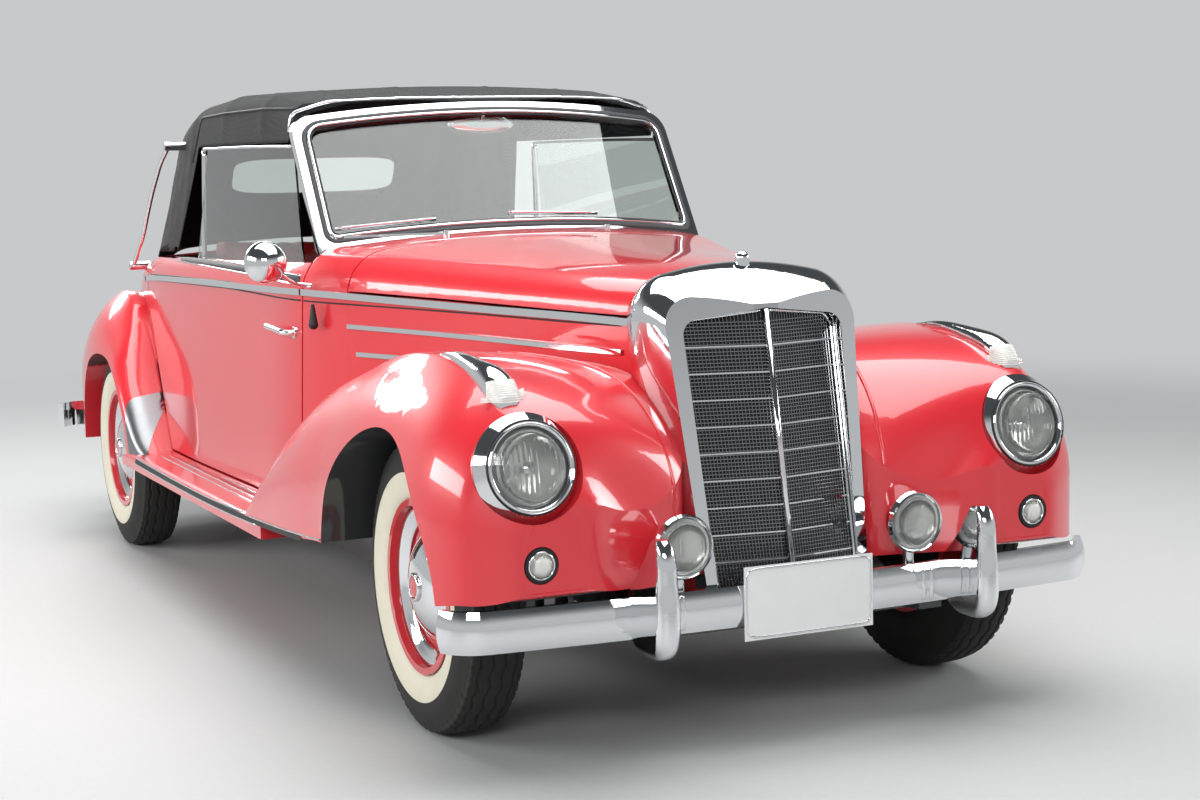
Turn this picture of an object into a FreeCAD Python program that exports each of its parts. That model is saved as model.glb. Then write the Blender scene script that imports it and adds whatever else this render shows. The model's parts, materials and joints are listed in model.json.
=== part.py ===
# Two-door convertible car of the early 1950s with its soft top raised, in millimetres.
# The car faces -Y, +X is its left side, +Z is up, and the origin is on the ground
# under the middle of the car. A station is a distance rearward of the front axle.
import FreeCAD
import Part
import Sketcher

import math
import os
import re

from FreeCAD import Placement, Rotation, Vector

doc = FreeCAD.newDocument("Convertible")
sheet = doc.addObject("Spreadsheet::Sheet", "Sizes")

# Driving dimensions: alias, value, meaning
SIZES = [
    ("front_axle", -1599, "place of the front axle along Y"),
    ("wheelbase", 2845, "front axle to rear axle"),
    ("track_front", 1315, "between the front wheels' middles"),
    ("track_rear", 1435, "between the rear wheels' middles"),
    ("side_reach", 840, "half the car's width over the wings"),
    ("body_wall", 55, "thickness of a door or body side"),
    ("top_wall", 26, "thickness of the bonnet and the cowl skin"),
    ("door_gap", 8, "running gap round a door"),
    ("lid_gap", 6, "running gap round a bonnet or boot lid"),
    ("seat_gap", 0.3, "gap where one piece rests on another"),
    ("tyre_radius", 345, "outer radius of a tyre"),
    ("tyre_side", 82, "half the width of a tyre"),
    ("tread_half", 66, "half the width of the tread"),
    ("bead_radius", 196, "inner radius of a tyre"),
    ("bead_half", 61.5, "half the width between the beads"),
    ("bulge_radius", 262, "radius at a tyre's widest place"),
    ("flange_radius", 204, "outer radius of the rim's flange"),
    ("well_radius", 164, "radius of the rim's well"),
    ("rim_skin", 8, "thickness of the rim's steel"),
    ("flange_lean", 3.6, "how far a rim's flange leans out beside the tyre"),
    ("disc_face", 34, "how far the disc's ridge stands out"),
    ("cap_radius", 116, "radius of a hub cap"),
    ("cap_height", 44, "height of a hub cap's dome"),
    ("spindle_radius", 20, "radius of a wheel spindle"),
    ("spindle_play", 0.3, "radial play of a wheel on its spindle"),
    ("hub_wall", 24, "wall of a wheel hub round its bore"),
    ("drum_back", 36, "backing plate behind the wheel's middle"),
    ("drum_radius", 138, "radius of the brake backing plate"),
    ("plate_thick", 12, "thickness of the backing plate"),
    ("kingpin_offset", 75, "kingpin inboard of the wheel's middle"),
    ("kingpin_half", 108, "half the kingpin's length"),
    ("kingpin_radius", 19, "radius of the kingpin"),
    ("arch_radius", 376, "radius of a wheel arch"),
    ("arch_inner", 414, "inner side of the front wheel wells"),
    ("rear_well_inner", 608, "inner side of the rear wheel wells"),
    ("sheet_wall", 12, "thickness of floor, firewall and wheel boxes"),
    ("floor_height", 338, "underside of the floor"),
    ("firewall_station", 866, "front face of the firewall"),
    ("bulkhead_station", 2850, "panel behind the rear seat"),
    ("riser_station", 2425, "step up to the rear floor"),
    ("rear_floor_height", 476, "underside of the rear floor"),
    ("tunnel_half", 120, "half the width of the drive tunnel"),
    ("tunnel_height", 110, "height of the drive tunnel"),
    ("rail_inner", 318, "inner face of a frame rail"),
    ("rail_wide", 62, "width of a frame rail"),
    ("engine_wide", 300, "engine block across"),
    ("engine_long", 760, "engine block along"),
    ("engine_tall", 480, "engine block height"),
    ("engine_base", 340, "underside of the engine"),
    ("engine_station", 20, "front face of the engine"),
    ("cowl_station", 860, "seam between bonnet and cowl"),
    ("door_front", 1066, "front shut line of the doors"),
    ("door_rear_high", 2821, "rear end of the doors at the belt"),
    ("door_rear_low", 2376, "rear end of the doors at the sill"),
    ("door_base", 388, "underside of the doors"),
    ("belt_front", 1051, "top of the door at its front"),
    ("belt_rear", 1006, "top of the door at its rear"),
    ("moulding_front", 944, "belt moulding's height at the grille"),
    ("moulding_cowl", 972, "belt moulding's height at the cowl"),
    ("grille_base", 356, "lower end of the grille"),
    ("grille_station", -448, "grille corner's station at its base"),
    ("grille_lean", 14, "lean of the grille in degrees"),
    ("grille_high", 614, "height of the grille along its lean"),
    ("grille_top_half", 207, "half the grille's width at its top"),
    ("grille_low_half", 184, "half the grille's width at its base"),
    ("grille_vee_top", 63, "depth of the grille's vee at its top"),
    ("grille_vee_low", 24, "depth of the grille's vee at its base"),
    ("grille_bars", 8, "cross bars in the grille"),
    ("lamp_x", 638, "headlamp's place across"),
    ("lamp_station", -452, "headlamp's place along"),
    ("lamp_height", 670, "headlamp's height"),
    ("lamp_lean", 12, "headlamp's lean in degrees"),
    ("lamp_radius", 121, "outer radius of the headlamp's bezel"),
    ("lamp_glass", 94, "radius of the headlamp's glass"),
    ("bucket_radius", 104, "radius of the headlamp's bucket"),
    ("fog_x", 298, "fog lamp's place across"),
    ("fog_station", -517, "fog lamp's front face"),
    ("fog_height", 478, "fog lamp's height"),
    ("fog_radius", 72, "outer radius of a fog lamp"),
    ("turn_x", 632, "direction lamp's place across"),
    ("turn_height", 470, "direction lamp's height"),
    ("turn_radius", 40, "direction lamp's rubber ring"),
    ("tail_x", 596, "tail lamp's place across"),
    ("tail_station", 3624, "tail lamp's rim"),
    ("tail_height", 522, "tail lamp's height"),
    ("tail_radius", 44, "radius of a tail lamp"),
    ("blade_high", 92, "height of a bumper blade"),
    ("blade_thick", 26, "thickness of a bumper blade"),
    ("front_blade_base", 289, "underside of the front blade"),
    ("rear_blade_base", 330, "underside of the rear blade"),
    ("front_blade_station", -528, "front blade's middle"),
    ("rear_blade_station", 3800, "rear blade's middle"),
    ("front_tip", -670, "front of the front overriders"),
    ("rear_tip", 3868, "back of the rear overriders"),
    ("guard_wide", 56, "width of an overrider"),
    ("guard_x", 405, "overrider's place across"),
    ("plate_long", 330, "number plate across"),
    ("plate_high", 165, "number plate's height"),
    ("glass_thick", 6, "thickness of the window glass"),
    ("screen_frame", 40, "windscreen frame's face width"),
    ("screen_depth", 36, "windscreen frame's depth"),
    ("canopy_wall", 26, "thickness of the padded soft top"),
    ("wheel_x", 330, "steering wheel's place across"),
    ("wheel_station", 1600, "steering wheel's place along"),
    ("wheel_height", 960, "steering wheel's height"),
    ("wheel_lean", 58, "steering column's lean from upright in degrees"),
    ("wheel_radius", 205, "radius of the steering wheel's rim line"),
    ("wheel_grip", 11, "radius of the steering wheel's rim section"),
    ("column_radius", 22, "radius of the steering column"),
    ("seat_wide", 520, "front seat's width"),
    ("seat_long", 500, "front seat cushion's length"),
    ("seat_base", 470, "underside of the front seat's cushion"),
    ("cushion_high", 150, "thickness of a seat cushion"),
    ("back_high", 470, "height of a front seat's back"),
    ("back_thick", 120, "thickness of a seat's back"),
    ("seat_x", 310, "front seat's place across"),
    ("seat_station", 1700, "front edge of the front seats"),
    ("bench_wide", 1060, "rear seat's width"),
    ("bench_station", 2230, "front edge of the rear seat"),
    ("bench_base", 492, "underside of the rear seat's cushion"),
    ("bench_back", 360, "height of the rear seat's back"),
]
for row, (alias, value, meaning) in enumerate(SIZES, start=1):
    sheet.set("A%d" % row, alias)
    sheet.set("B%d" % row, str(value))
    sheet.set("C%d" % row, meaning)
    sheet.setAlias("B%d" % row, alias)
doc.recompute()
ALIASES = sorted((entry[0] for entry in SIZES), key=len, reverse=True)
ALIAS_WORD = re.compile(r"\b(" + "|".join(ALIASES) + r")\b")
UP = Vector(0, 0, 1)
INWARD = Vector(-1, 0, 0)
SIDES = (("left", 1), ("right", -1))
PARTS = []


def size(alias):
    return float(sheet.get(alias))


def along(station):
    """The Y of a station."""
    return station + size("front_axle")


def bind(thing, prop, text):
    """Tie a property to an expression over the sheet's aliases."""
    thing.setExpression(prop, ALIAS_WORD.sub(r"Sizes.\1", str(text)))


def place(thing, x, y, z, axis=None, angle=None):
    """Place a sub-part by expressions, turned about an axis where one is given."""
    for letter, text in zip("xyz", (x, y, z)):
        bind(thing, "Placement.Base.%s" % letter, text)
    if axis is not None:
        thing.Placement.Rotation = Rotation(axis, 1)
        bind(thing, "Placement.Rotation.Angle", angle)


def keep(thing, label):
    """Name a sub-part and list it for writing."""
    thing.Label = label
    PARTS.append(thing)
    return thing


def shaped(label, shape):
    """A sub-part whose shape is worked out from the sheet."""
    thing = doc.addObject("Part::Feature", label)
    thing.Shape = shape
    return keep(thing, label)


def number(text):
    """The value of an expression over the sheet's aliases."""
    words = ALIAS_WORD.sub(lambda found: repr(size(found.group(1))), str(text))
    return float(FreeCAD.Units.Quantity("(" + words + ")").Value)


def bulge(start, end, radius):
    """A circle's arc from start to end, round a centre on the left of that way."""
    chord = end - start
    reach = math.sqrt(radius**2 - (chord.Length / 2)**2)
    left = Vector(-chord.y, chord.x, 0).normalize()
    centre = (start + end) * 0.5 + left * reach
    angles = [math.atan2(point.y - centre.y, point.x - centre.x) for point in (start, end)]
    return Part.ArcOfCircle(Part.Circle(centre, UP, radius), *angles)


def outline(body, role, corners, offset=None):
    """A closed sketch on an origin plane. Each corner is (across, up, bend), and bend is
    the radius of the arc to the next corner: negative where it hollows the outline."""
    plane = next(item for item in body.Origin.OriginFeatures if item.Role == role)
    sketch = body.newObject("Sketcher::SketchObject", body.Name + "_outline")
    sketch.AttachmentSupport = [(plane, "")]
    sketch.MapMode = "FlatFace"
    spots = [Vector(number(across), number(up), 0) for across, up, bend in corners]
    hollow = [bend is not None and number(bend) < 0 for across, up, bend in corners]
    for index, (across, up, bend) in enumerate(corners):
        start, end = spots[index], spots[(index + 1) % len(corners)]
        if bend is None:
            sketch.addGeometry(Part.LineSegment(start, end), False)
        elif hollow[index]:
            sketch.addGeometry(bulge(end, start, -number(bend)), False)
        else:
            sketch.addGeometry(bulge(start, end, number(bend)), False)
    for index, (across, up, bend) in enumerate(corners):
        following = (index + 1) % len(corners)
        first, last = (2, 1) if hollow[index] else (1, 2)
        meets = 2 if hollow[following] else 1
        sketch.addConstraint(Sketcher.Constraint("Coincident", index, last, following, meets))
        for kind, axis, text, value in (("DistanceX", -2, across, spots[index].x),
                                        ("DistanceY", -1, up, spots[index].y)):
            if value == 0:
                sketch.addConstraint(Sketcher.Constraint("PointOnObject", index, first, axis))
                continue
            rule = Sketcher.Constraint(kind, -1, 1, index, first, value)
            bind(sketch, "Constraints[%d]" % sketch.addConstraint(rule), text)
        if bend is not None:
            rule = Sketcher.Constraint("Radius", index, abs(number(bend)))
            bind(sketch, "Constraints[%d]" % sketch.addConstraint(rule), "abs(%s)" % bend)
    if offset is not None:
        bind(sketch, "AttachmentOffset.Base.z", offset)
    return sketch


def turned(name, corners, x="0", y="0", z="0", axis="H_Axis"):
    """A body turned from a half profile about the sketch's axis."""
    body = doc.addObject("PartDesign::Body", name)
    sketch = outline(body, "XY_Plane", corners)
    turn = body.newObject("PartDesign::Revolution", name + "_turn")
    turn.Profile = sketch
    turn.ReferenceAxis = (sketch, [axis])
    turn.Angle = 360
    sketch.Visibility = False
    place(body, x, y, z)
    return body


# Faces and solids by code, for the forms that are lofts through few sections

def straight(start, end):
    return Part.LineSegment(start, end).toShape()


def tangent_arc(start, corner, end):
    """The arc from start to end whose tangents meet at corner, equally far from both."""
    weight = (end - start).Length / 2 / (corner - start).Length
    middle = (start + corner * (2 * weight) + end) * (1 / (2 * (1 + weight)))
    return Part.Arc(start, middle, end).toShape()


def double_arc(start, heading, reach, end, arrival):
    """Two arcs that touch, from start along heading to end along arrival."""
    first = start + heading * reach
    gap = end - first
    second_reach = (gap.dot(gap) - reach**2) / (2 * (reach + gap.dot(arrival)))
    second = end - arrival * second_reach
    share = reach / (reach + second_reach)
    joint = first + (second - first) * share
    return [tangent_arc(start, first, joint), tangent_arc(joint, second, end)]


def other_side(shape):
    return shape.mirror(Vector(0, 0, 0), Vector(1, 0, 0))


def both_sides(shape):
    return Part.makeCompound([shape, other_side(shape)])


def flipped(point):
    return Vector(-point.x, point.y, point.z)


def side_prism(corners, near, far):
    """A prism across the car from x near to x far. Its corners are (station, z)."""
    spots = [Vector(near, along(station), z) for station, z in corners]
    face = Part.Face(Part.makePolygon(spots + spots[:1]))
    return face.extrude(Vector(far - near, 0, 0))


def slab(near, far, inner, outer, low, high):
    """A block between two stations, two places across and two heights."""
    corner = Vector(inner, along(near), low)
    return Part.makeBox(outer - inner, far - near, high - low, corner)


# The body tub: sections from the grille to the tail
BODY_COLUMNS = "station sill_half sill_z belt_half belt_z top_z shoulder"
BODY_SECTIONS = (
    (-470, 200, 330, 236, 925, 1038, 70),
    (-170, 215, 330, 252, 944, 1064, 75),
    (250, 330, 330, 385, 954, 1085, 85),
    (700, 520, 330, 530, 964, 1110, 100),
    (1066, 672, 330, 645, 972, 1130, 110),
    (1400, 700, 330, 667, 968, 1130, 110),
    (1900, 712, 330, 676, 962, 1110, 100),
    (2400, 712, 330, 680, 953, 1090, 95),
    (2850, 690, 330, 665, 935, 1050, 85),
    (3150, 650, 345, 620, 890, 990, 75),
    (3420, 570, 370, 545, 780, 880, 70),
    (3620, 470, 400, 455, 620, 720, 60),
    (3730, 380, 430, 375, 500, 570, 45),
)


def body_section(station, sill_half, sill_z, belt_half, belt_z, top_z, shoulder, inset=0):
    """A hoop: flat underneath, straight sides, a shoulder arc and an arched top."""
    place_y = along(station)
    sill = Vector(sill_half - inset, place_y, sill_z)
    belt = Vector(belt_half - inset, place_y, belt_z)
    crown = Vector(0, place_y, top_z - min(inset, size("top_wall")))
    climb = (belt - sill).normalize()
    bend = belt + climb * shoulder
    drop = bend.z - crown.z
    reach = (bend.x**2 + drop**2 - shoulder**2) / (2 * (bend.x + shoulder))
    flat = Vector(reach, place_y, crown.z)
    joint = (bend * reach + flat * shoulder) * (1 / (shoulder + reach))
    return Part.Wire([
        straight(flipped(sill), sill),
        straight(sill, belt),
        tangent_arc(belt, bend, joint),
        Part.Arc(joint, crown, flipped(joint)).toShape(),
        tangent_arc(flipped(joint), flipped(bend), flipped(belt)),
        straight(flipped(belt), flipped(sill)),
    ])


def lofted(sections):
    return Part.makeLoft(sections, True, False)


def tub(inset, drop=0):
    """The whole body form, drawn in by a wall and let down at its underside."""
    sections = []
    for row in BODY_SECTIONS:
        values = dict(zip(BODY_COLUMNS.split(), row))
        values["sill_z"] -= drop
        sections.append(body_section(inset=inset, **values))
    return lofted(sections)


# The wings: sections along the car
WING_COLUMNS = "station inner base outer outer_z crown crown_z inner_z"
FRONT_WING_SECTIONS = (
    (-508, 540, 412, 665, 500, 600, 590, 565),
    (-494, 470, 396, 722, 520, 620, 660, 580),
    (-465, 390, 390, 768, 530, 630, 725, 560),
    (-425, 270, 388, 803, 540, 640, 785, 600),
    (-340, 215, 378, 832, 545, 650, 835, 690),
    (-200, 200, 388, 840, 550, 656, 868, 780),
    (50, 210, 398, 840, 540, 660, 881, 800),
    (300, 280, 400, 840, 520, 668, 845, 765),
    (560, 380, 384, 840, 490, 700, 765, 680),
    (850, 500, 369, 840, 420, 742, 612, 560),
    (1000, 560, 362, 840, 385, 785, 455, 430),
    (1058, 580, 358, 838, 366, 800, 395, 388),
)
REAR_WING_SECTIONS = (
    (2392, 560, 330, 770, 342, 715, 356, 350),
    (2425, 560, 328, 815, 368, 745, 404, 392),
    (2470, 560, 326, 830, 408, 760, 458, 432),
    (2540, 560, 318, 838, 480, 772, 540, 500),
    (2600, 560, 314, 840, 540, 776, 609, 560),
    (2680, 560, 312, 840, 590, 760, 700, 636),
    (2785, 560, 312, 840, 600, 730, 790, 730),
    (2900, 555, 312, 840, 620, 706, 862, 806),
    (3050, 540, 320, 838, 640, 700, 886, 822),
    (3250, 490, 335, 825, 590, 690, 825, 760),
    (3430, 440, 350, 790, 490, 665, 700, 640),
    (3560, 430, 365, 725, 450, 620, 560, 520),
    (3640, 420, 375, 640, 410, 560, 440, 420),
)
CROWN_SHARE, OUTER_SHARE = 0.45, 0.62


def wing_section(station, inner, base, outer, outer_z, crown, crown_z, inner_z):
    """Flat below, upright outside, rounded over the crown and down to the body."""
    place_y = along(station)
    inner_foot = Vector(inner, place_y, base)
    outer_foot = Vector(outer, place_y, base)
    outer_top = Vector(outer, place_y, outer_z)
    top = Vector(crown, place_y, crown_z)
    inner_top = Vector(inner, place_y, inner_z)
    fall = Vector(-1, 0, -1.2).normalize()
    edges = [straight(inner_foot, outer_foot), straight(outer_foot, outer_top)]
    edges += double_arc(outer_top, UP, (crown_z - outer_z) * OUTER_SHARE, top, INWARD)
    edges += double_arc(top, INWARD, (crown - inner) * CROWN_SHARE, inner_top, fall)
    edges.append(straight(inner_top, inner_foot))
    return Part.Wire(edges)


def wing(table):
    return lofted([wing_section(**dict(zip(WING_COLUMNS.split(), row))) for row in table])


def wheel_well(station, inner, grow=0):
    """The round space for a wheel, from its inner side out through the skin."""
    start = Vector(inner, along(station), size("tyre_radius"))
    reach = size("side_reach") * 2
    return Part.makeCylinder(size("arch_radius") + grow, reach, start, Vector(1, 0, 0))


FAR = 5000
body_form = tub(0)
cabin_form = tub(size("body_wall"), drop=FAR / 10)
lining_form = tub(size("body_wall") + size("seat_gap"), drop=FAR / 10)
front_well = wheel_well(0, size("arch_inner"))
rear_well = wheel_well(size("wheelbase"), size("rear_well_inner"))
front_wing_form = wing(FRONT_WING_SECTIONS)
rear_wing_form = wing(REAR_WING_SECTIONS)


def belt_plane_cut(low_first, low_last, first, last):
    """Everything above a line that runs from one station and height to another."""
    reach = size("side_reach") * 2
    corners = ((first, low_first), (last, low_last), (last, FAR), (first, FAR))
    return side_prism(corners, -reach, reach)


# Lines of the body seen from its side. A door's rear edge leans up to its bend
DOOR_FOOT, DOOR_BEND = 350, 880
NOSE_STATION = -185
SEAT_GAP = size("seat_gap")
moulding_rise = (size("moulding_cowl") - size("moulding_front")) / (size("door_front") + 173)


def moulding_height(station):
    return size("moulding_front") + moulding_rise * (station + 173)


def door_lines(gap):
    """The door's outline drawn in by a gap: front foot, front top, rear top, rear foot."""
    front = size("door_front") + gap
    lean = (size("door_rear_high") - size("door_rear_low")) / (DOOR_BEND - DOOR_FOOT)
    low, high = size("door_base") - (size("door_gap") - gap), FAR / 4
    top_rear = size("door_rear_high") - gap
    return ((front, low), (front, high), (top_rear, high), (top_rear, DOOR_BEND),
            (size("door_rear_low") + lean * (low - DOOR_FOOT) - gap, low))


# Nose: the chromed shell round the grille and the painted aprons beside it
NOSE_COLUMNS = "station lean sill_half sill_z belt_half belt_v top_v shoulder"
NOSE_SECTIONS = (
    (-500, 12, 203, 345, 226, 590, 655, 60),
    (-400, 8, 214, 345, 258, 606, 712, 80),
    (-185, 0, 215, 345, 264, 597, 722, 82),
)
SHELL_LIP = 12
GRILLE_SINK = 14


def nose_form(inset):
    """The nose's outer form, drawn in by a wall."""
    sections = []
    for row in NOSE_SECTIONS:
        values = dict(zip(NOSE_COLUMNS.split(), row))
        lean = math.radians(values["lean"])
        foot = Vector(0, along(values["station"]), values["sill_z"])
        hoop = body_section(0, values["sill_half"], 0 if inset == 0 else -FAR / 10,
                            values["belt_half"], values["belt_v"], values["top_v"],
                            values["shoulder"], inset)
        hoop.translate(Vector(0, -along(0), 0))
        hoop.rotate(Vector(0, 0, 0), Vector(1, 0, 0), -math.degrees(lean))
        hoop.translate(foot)
        sections.append(hoop)
    return lofted(sections)


def beyond(first, second, third, reach=FAR):
    """A large block on the side of a plane that its normal points to."""
    normal = (second - first).cross(third - first).normalize()
    corner = first
    face = Part.makePlane(2 * reach, 2 * reach, corner, normal)
    middle = face.CenterOfMass
    face.translate(first - middle)
    return face.extrude(normal * reach)


def grille_line(share):
    """Half width, corner station, middle station and height at a share of the grille."""
    lean = math.radians(size("grille_lean"))
    rise = size("grille_high") * math.cos(lean)
    half = size("grille_low_half")
    half += (size("grille_top_half") - half) * share
    corner = size("grille_station") + size("grille_high") * math.sin(lean) * share
    vee = size("grille_vee_low")
    vee += (size("grille_vee_top") - vee) * share
    return half, corner, corner - vee, size("grille_base") + rise * share


def vee_wire(share, front, back, narrow=0, lift=0):
    """A thin vee across the grille, from a little in front of its face to a little behind."""
    half, corner, middle, z = grille_line(share)
    half -= narrow
    spots = [(-half, corner + front), (0, middle + front), (half, corner + front),
             (half, corner + back), (0, middle + back), (-half, corner + back)]
    points = [Vector(x, along(station), z + lift) for x, station in spots]
    return Part.makePolygon(points + points[:1])


def grille_plane(side, lip):
    """Everything in front of one half of the grille's vee, moved forward by a lip."""
    half, corner, middle, z = grille_line(0)
    top_half, top_corner, top_middle, top_z = grille_line(1)
    low_middle = Vector(0, along(middle) - lip, z)
    low_corner = Vector(side * half, along(corner) - lip, z)
    high_middle = Vector(0, along(top_middle) - lip, top_z)
    if side > 0:
        return beyond(low_middle, low_corner, high_middle)
    return beyond(low_middle, high_middle, low_corner)


nose_solid = nose_form(0)
for side_name, side in SIDES:
    nose_solid = nose_solid.cut(grille_plane(side, SHELL_LIP))
nose_hollow = nose_form(size("top_wall"))
FACE_DEPTH = 34
for side_name, side in SIDES:
    nose_hollow = nose_hollow.cut(grille_plane(side, -FACE_DEPTH))
nose_wall = nose_solid.cut(nose_hollow)
top_half, top_corner, top_middle, grille_top = grille_line(1)
low_half = size("grille_low_half")
MOUTH_CORNER, MOUTH_PEAK = 36, 24


def mouth_prism(gap):
    """The grille's opening drawn in by a gap, straight through the nose."""
    base, top = size("grille_base") + gap, grille_top - gap
    spots = [Vector(x, along(-FAR / 5), z) for x, z in (
        (gap - low_half, base), (low_half - gap, base), (top_half - gap, top),
        (0, top + MOUTH_PEAK), (gap - top_half, top))]
    prism = Part.Face(Part.makePolygon(spots + spots[:1])).extrude(Vector(0, FAR, 0))
    return prism.makeFillet(MOUTH_CORNER, [
        edge for edge in prism.Edges if edge.BoundBox.YLength > FAR / 2
        and edge.CenterOfMass.z > size("lamp_height") and abs(edge.CenterOfMass.x) > 1])


mouth = mouth_prism(0)
# The shell reaches far back at its top and is a narrow frame lower down
SHELL_BACK_TOP = 935
SHELL_BACK = ((-500, 300), (-425, 300), (-340, 640), (-210, 900), (-185, SHELL_BACK_TOP),
              (-185, FAR), (-500, FAR))
shell_zone = side_prism(SHELL_BACK, -FAR, FAR)
radiator_shell = nose_wall.cut(mouth).common(shell_zone)
nose_apron = nose_wall.cut(shell_zone)
CAP_STATION, CAP_RADIUS, CAP_FOOT, CAP_HEIGHT = -257, 17, 1040, 44
cap = Part.makeCylinder(CAP_RADIUS, CAP_HEIGHT, Vector(0, along(CAP_STATION), CAP_FOOT))
cap = cap.fuse(Part.makeSphere(CAP_RADIUS, Vector(0, along(CAP_STATION), CAP_FOOT + CAP_HEIGHT)))
shaped("radiator_shell", radiator_shell.fuse(cap).removeSplitter())

# Grille: two leaning halves that meet in a vee, with cross bars and a middle bar
BAR_HIGH, BAR_PROUD, MESH_THICK, BAR_NARROW, MESH_REACH = 5, 5, 6, 1, 1.06
grille = lofted([vee_wire(0, GRILLE_SINK - SHELL_LIP, GRILLE_SINK - SHELL_LIP + MESH_THICK,
                          SEAT_GAP, SEAT_GAP),
                 vee_wire(MESH_REACH, GRILLE_SINK - SHELL_LIP,
                          GRILLE_SINK - SHELL_LIP + MESH_THICK, SEAT_GAP)])
grille = grille.common(mouth_prism(SEAT_GAP))
bar_count = int(size("grille_bars"))
for bar in range(1, bar_count + 1):
    share = bar / (bar_count + 1)
    bar_front = GRILLE_SINK - SHELL_LIP - BAR_PROUD
    grille = grille.fuse(lofted([
        vee_wire(share, bar_front, GRILLE_SINK - SHELL_LIP + MESH_THICK / 2, BAR_NARROW, lift)
        for lift in (0, BAR_HIGH)]))
MIDDLE_BAR = 9
bar_ends = []
for share in (0, 1):
    half, corner, middle, z = grille_line(share)
    y = along(middle) + GRILLE_SINK - SHELL_LIP
    bar_ends.append(Part.makePolygon([Vector(x, y + dy, z - share) for x, dy in (
        (-MIDDLE_BAR, MESH_THICK), (-MIDDLE_BAR, -MIDDLE_BAR), (MIDDLE_BAR, -MIDDLE_BAR),
        (MIDDLE_BAR, MESH_THICK), (-MIDDLE_BAR, MESH_THICK))]))
shaped("grille", grille.fuse(lofted(bar_ends)).removeSplitter())

# Bonnet and the sides below it
skin_wall = body_form.cut(tub(size("top_wall"), drop=FAR / 10))
hood_zone = slab(NOSE_STATION + SEAT_GAP, size("cowl_station") - SEAT_GAP, -FAR, FAR, 0, FAR)
hood_wall = skin_wall.common(hood_zone)
STRIP_HALF = 9
lid_line = STRIP_HALF + size("lid_gap")
above_moulding = belt_plane_cut(moulding_height(-FAR) + lid_line, moulding_height(FAR) + lid_line,
                                -FAR, FAR)
bonnet_zone = slab(NOSE_STATION + size("lid_gap"), size("cowl_station") - size("lid_gap"),
                   -FAR, FAR, 0, FAR)
shaped("bonnet", hood_wall.common(above_moulding).common(bonnet_zone))
below_moulding = belt_plane_cut(moulding_height(-FAR) + STRIP_HALF,
                                moulding_height(FAR) + STRIP_HALF, -FAR, FAR)
SIDE_BASE = 520
side_zone = slab(NOSE_STATION, size("cowl_station") - SEAT_GAP, -FAR, FAR, SIDE_BASE, FAR)
side_zone = side_zone.cut(slab(-FAR, NOSE_STATION + SEAT_GAP, -FAR, FAR,
                               SHELL_BACK_TOP - SEAT_GAP, FAR))
side_walls = skin_wall.common(side_zone)
side_walls = side_walls.cut(below_moulding).fuse(nose_apron).removeSplitter()
shaped("bonnet_sides", side_walls)

# Body shell: cowl, sills, quarters, rear deck and tail in one
TAIL_WALL = 34
inside = cabin_form.common(slab(-FAR, BODY_SECTIONS[-1][0] - TAIL_WALL, -FAR, FAR, -FAR, FAR))
shell = body_form.cut(inside)
shell = shell.common(slab(size("cowl_station"), FAR, -FAR, FAR, 0, FAR))
CABIN_FRONT, CABIN_REAR = 1120, 2990
door_top_cut = belt_plane_cut(size("belt_front"), size("belt_rear"), size("door_front"),
                              CABIN_REAR)
shell = shell.cut(door_top_cut.common(slab(CABIN_FRONT, CABIN_REAR, -FAR, FAR, 0, FAR)))
WELL_HALF = 600
door_zone = side_prism(door_lines(0), -FAR, FAR)
door_hole = door_zone.cut(slab(-FAR, FAR, -WELL_HALF / 2, WELL_HALF / 2, 0, FAR))
shell = shell.cut(door_hole)
LID_FRONT, LID_REAR, LID_HALF, LID_BASE = 3080, 3640, 430, 560
lid_zone = slab(LID_FRONT, LID_REAR, -LID_HALF, LID_HALF, LID_BASE, FAR)
shell = shell.cut(lid_zone)
for well in (rear_well, other_side(rear_well)):
    shell = shell.cut(well)
shaped("body_shell", shell)

gap = size("lid_gap")
boot_zone = slab(LID_FRONT + gap, LID_REAR - gap, -LID_HALF + gap, LID_HALF - gap, LID_BASE, FAR)
shaped("boot_lid", skin_wall.common(boot_zone))

# Doors with their glass and trim
door_leaf = body_form.cut(cabin_form).cut(door_top_cut).common(side_prism(
    door_lines(size("door_gap")), WELL_HALF / 2, FAR))
GLASS_FRONT_LOW, GLASS_FRONT_HIGH, GLASS_REAR_LOW, GLASS_REAR_HIGH = 1118, 1306, 2290, 2250
GLASS_TOP, GLASS_FOOT, GLASS_X_LOW, GLASS_X_HIGH = 1376, 1000, 618, 578


def glass_sheet(corners):
    """A leaning pane of side glass cut to an outline seen from the side."""
    first, last = along(-FAR), along(FAR)
    lean = (GLASS_X_LOW - GLASS_X_HIGH) / (GLASS_TOP - GLASS_FOOT)
    top = GLASS_TOP + size("screen_depth")
    foot = Vector(GLASS_X_LOW, first, GLASS_FOOT)
    head = Vector(GLASS_X_LOW - lean * (top - GLASS_FOOT), first, top)
    thick = Vector(size("glass_thick"), 0, 0)
    face = Part.Face(Part.makePolygon([foot, head, head + thick, foot + thick, foot]))
    return face.extrude(Vector(0, last - first, 0)).common(side_prism(corners, 1, FAR))


pane = glass_sheet(((GLASS_FRONT_LOW, GLASS_FOOT), (GLASS_FRONT_HIGH, GLASS_TOP),
                    (GLASS_REAR_HIGH, GLASS_TOP), (GLASS_REAR_LOW, GLASS_FOOT)))
# The pane stands in a slot in the door
GLASS_SINK = 30
slot_floor = size("belt_rear") - GLASS_SINK
pane_low = pane.common(slab(-FAR, FAR, 0, FAR, slot_floor, FAR))


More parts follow.
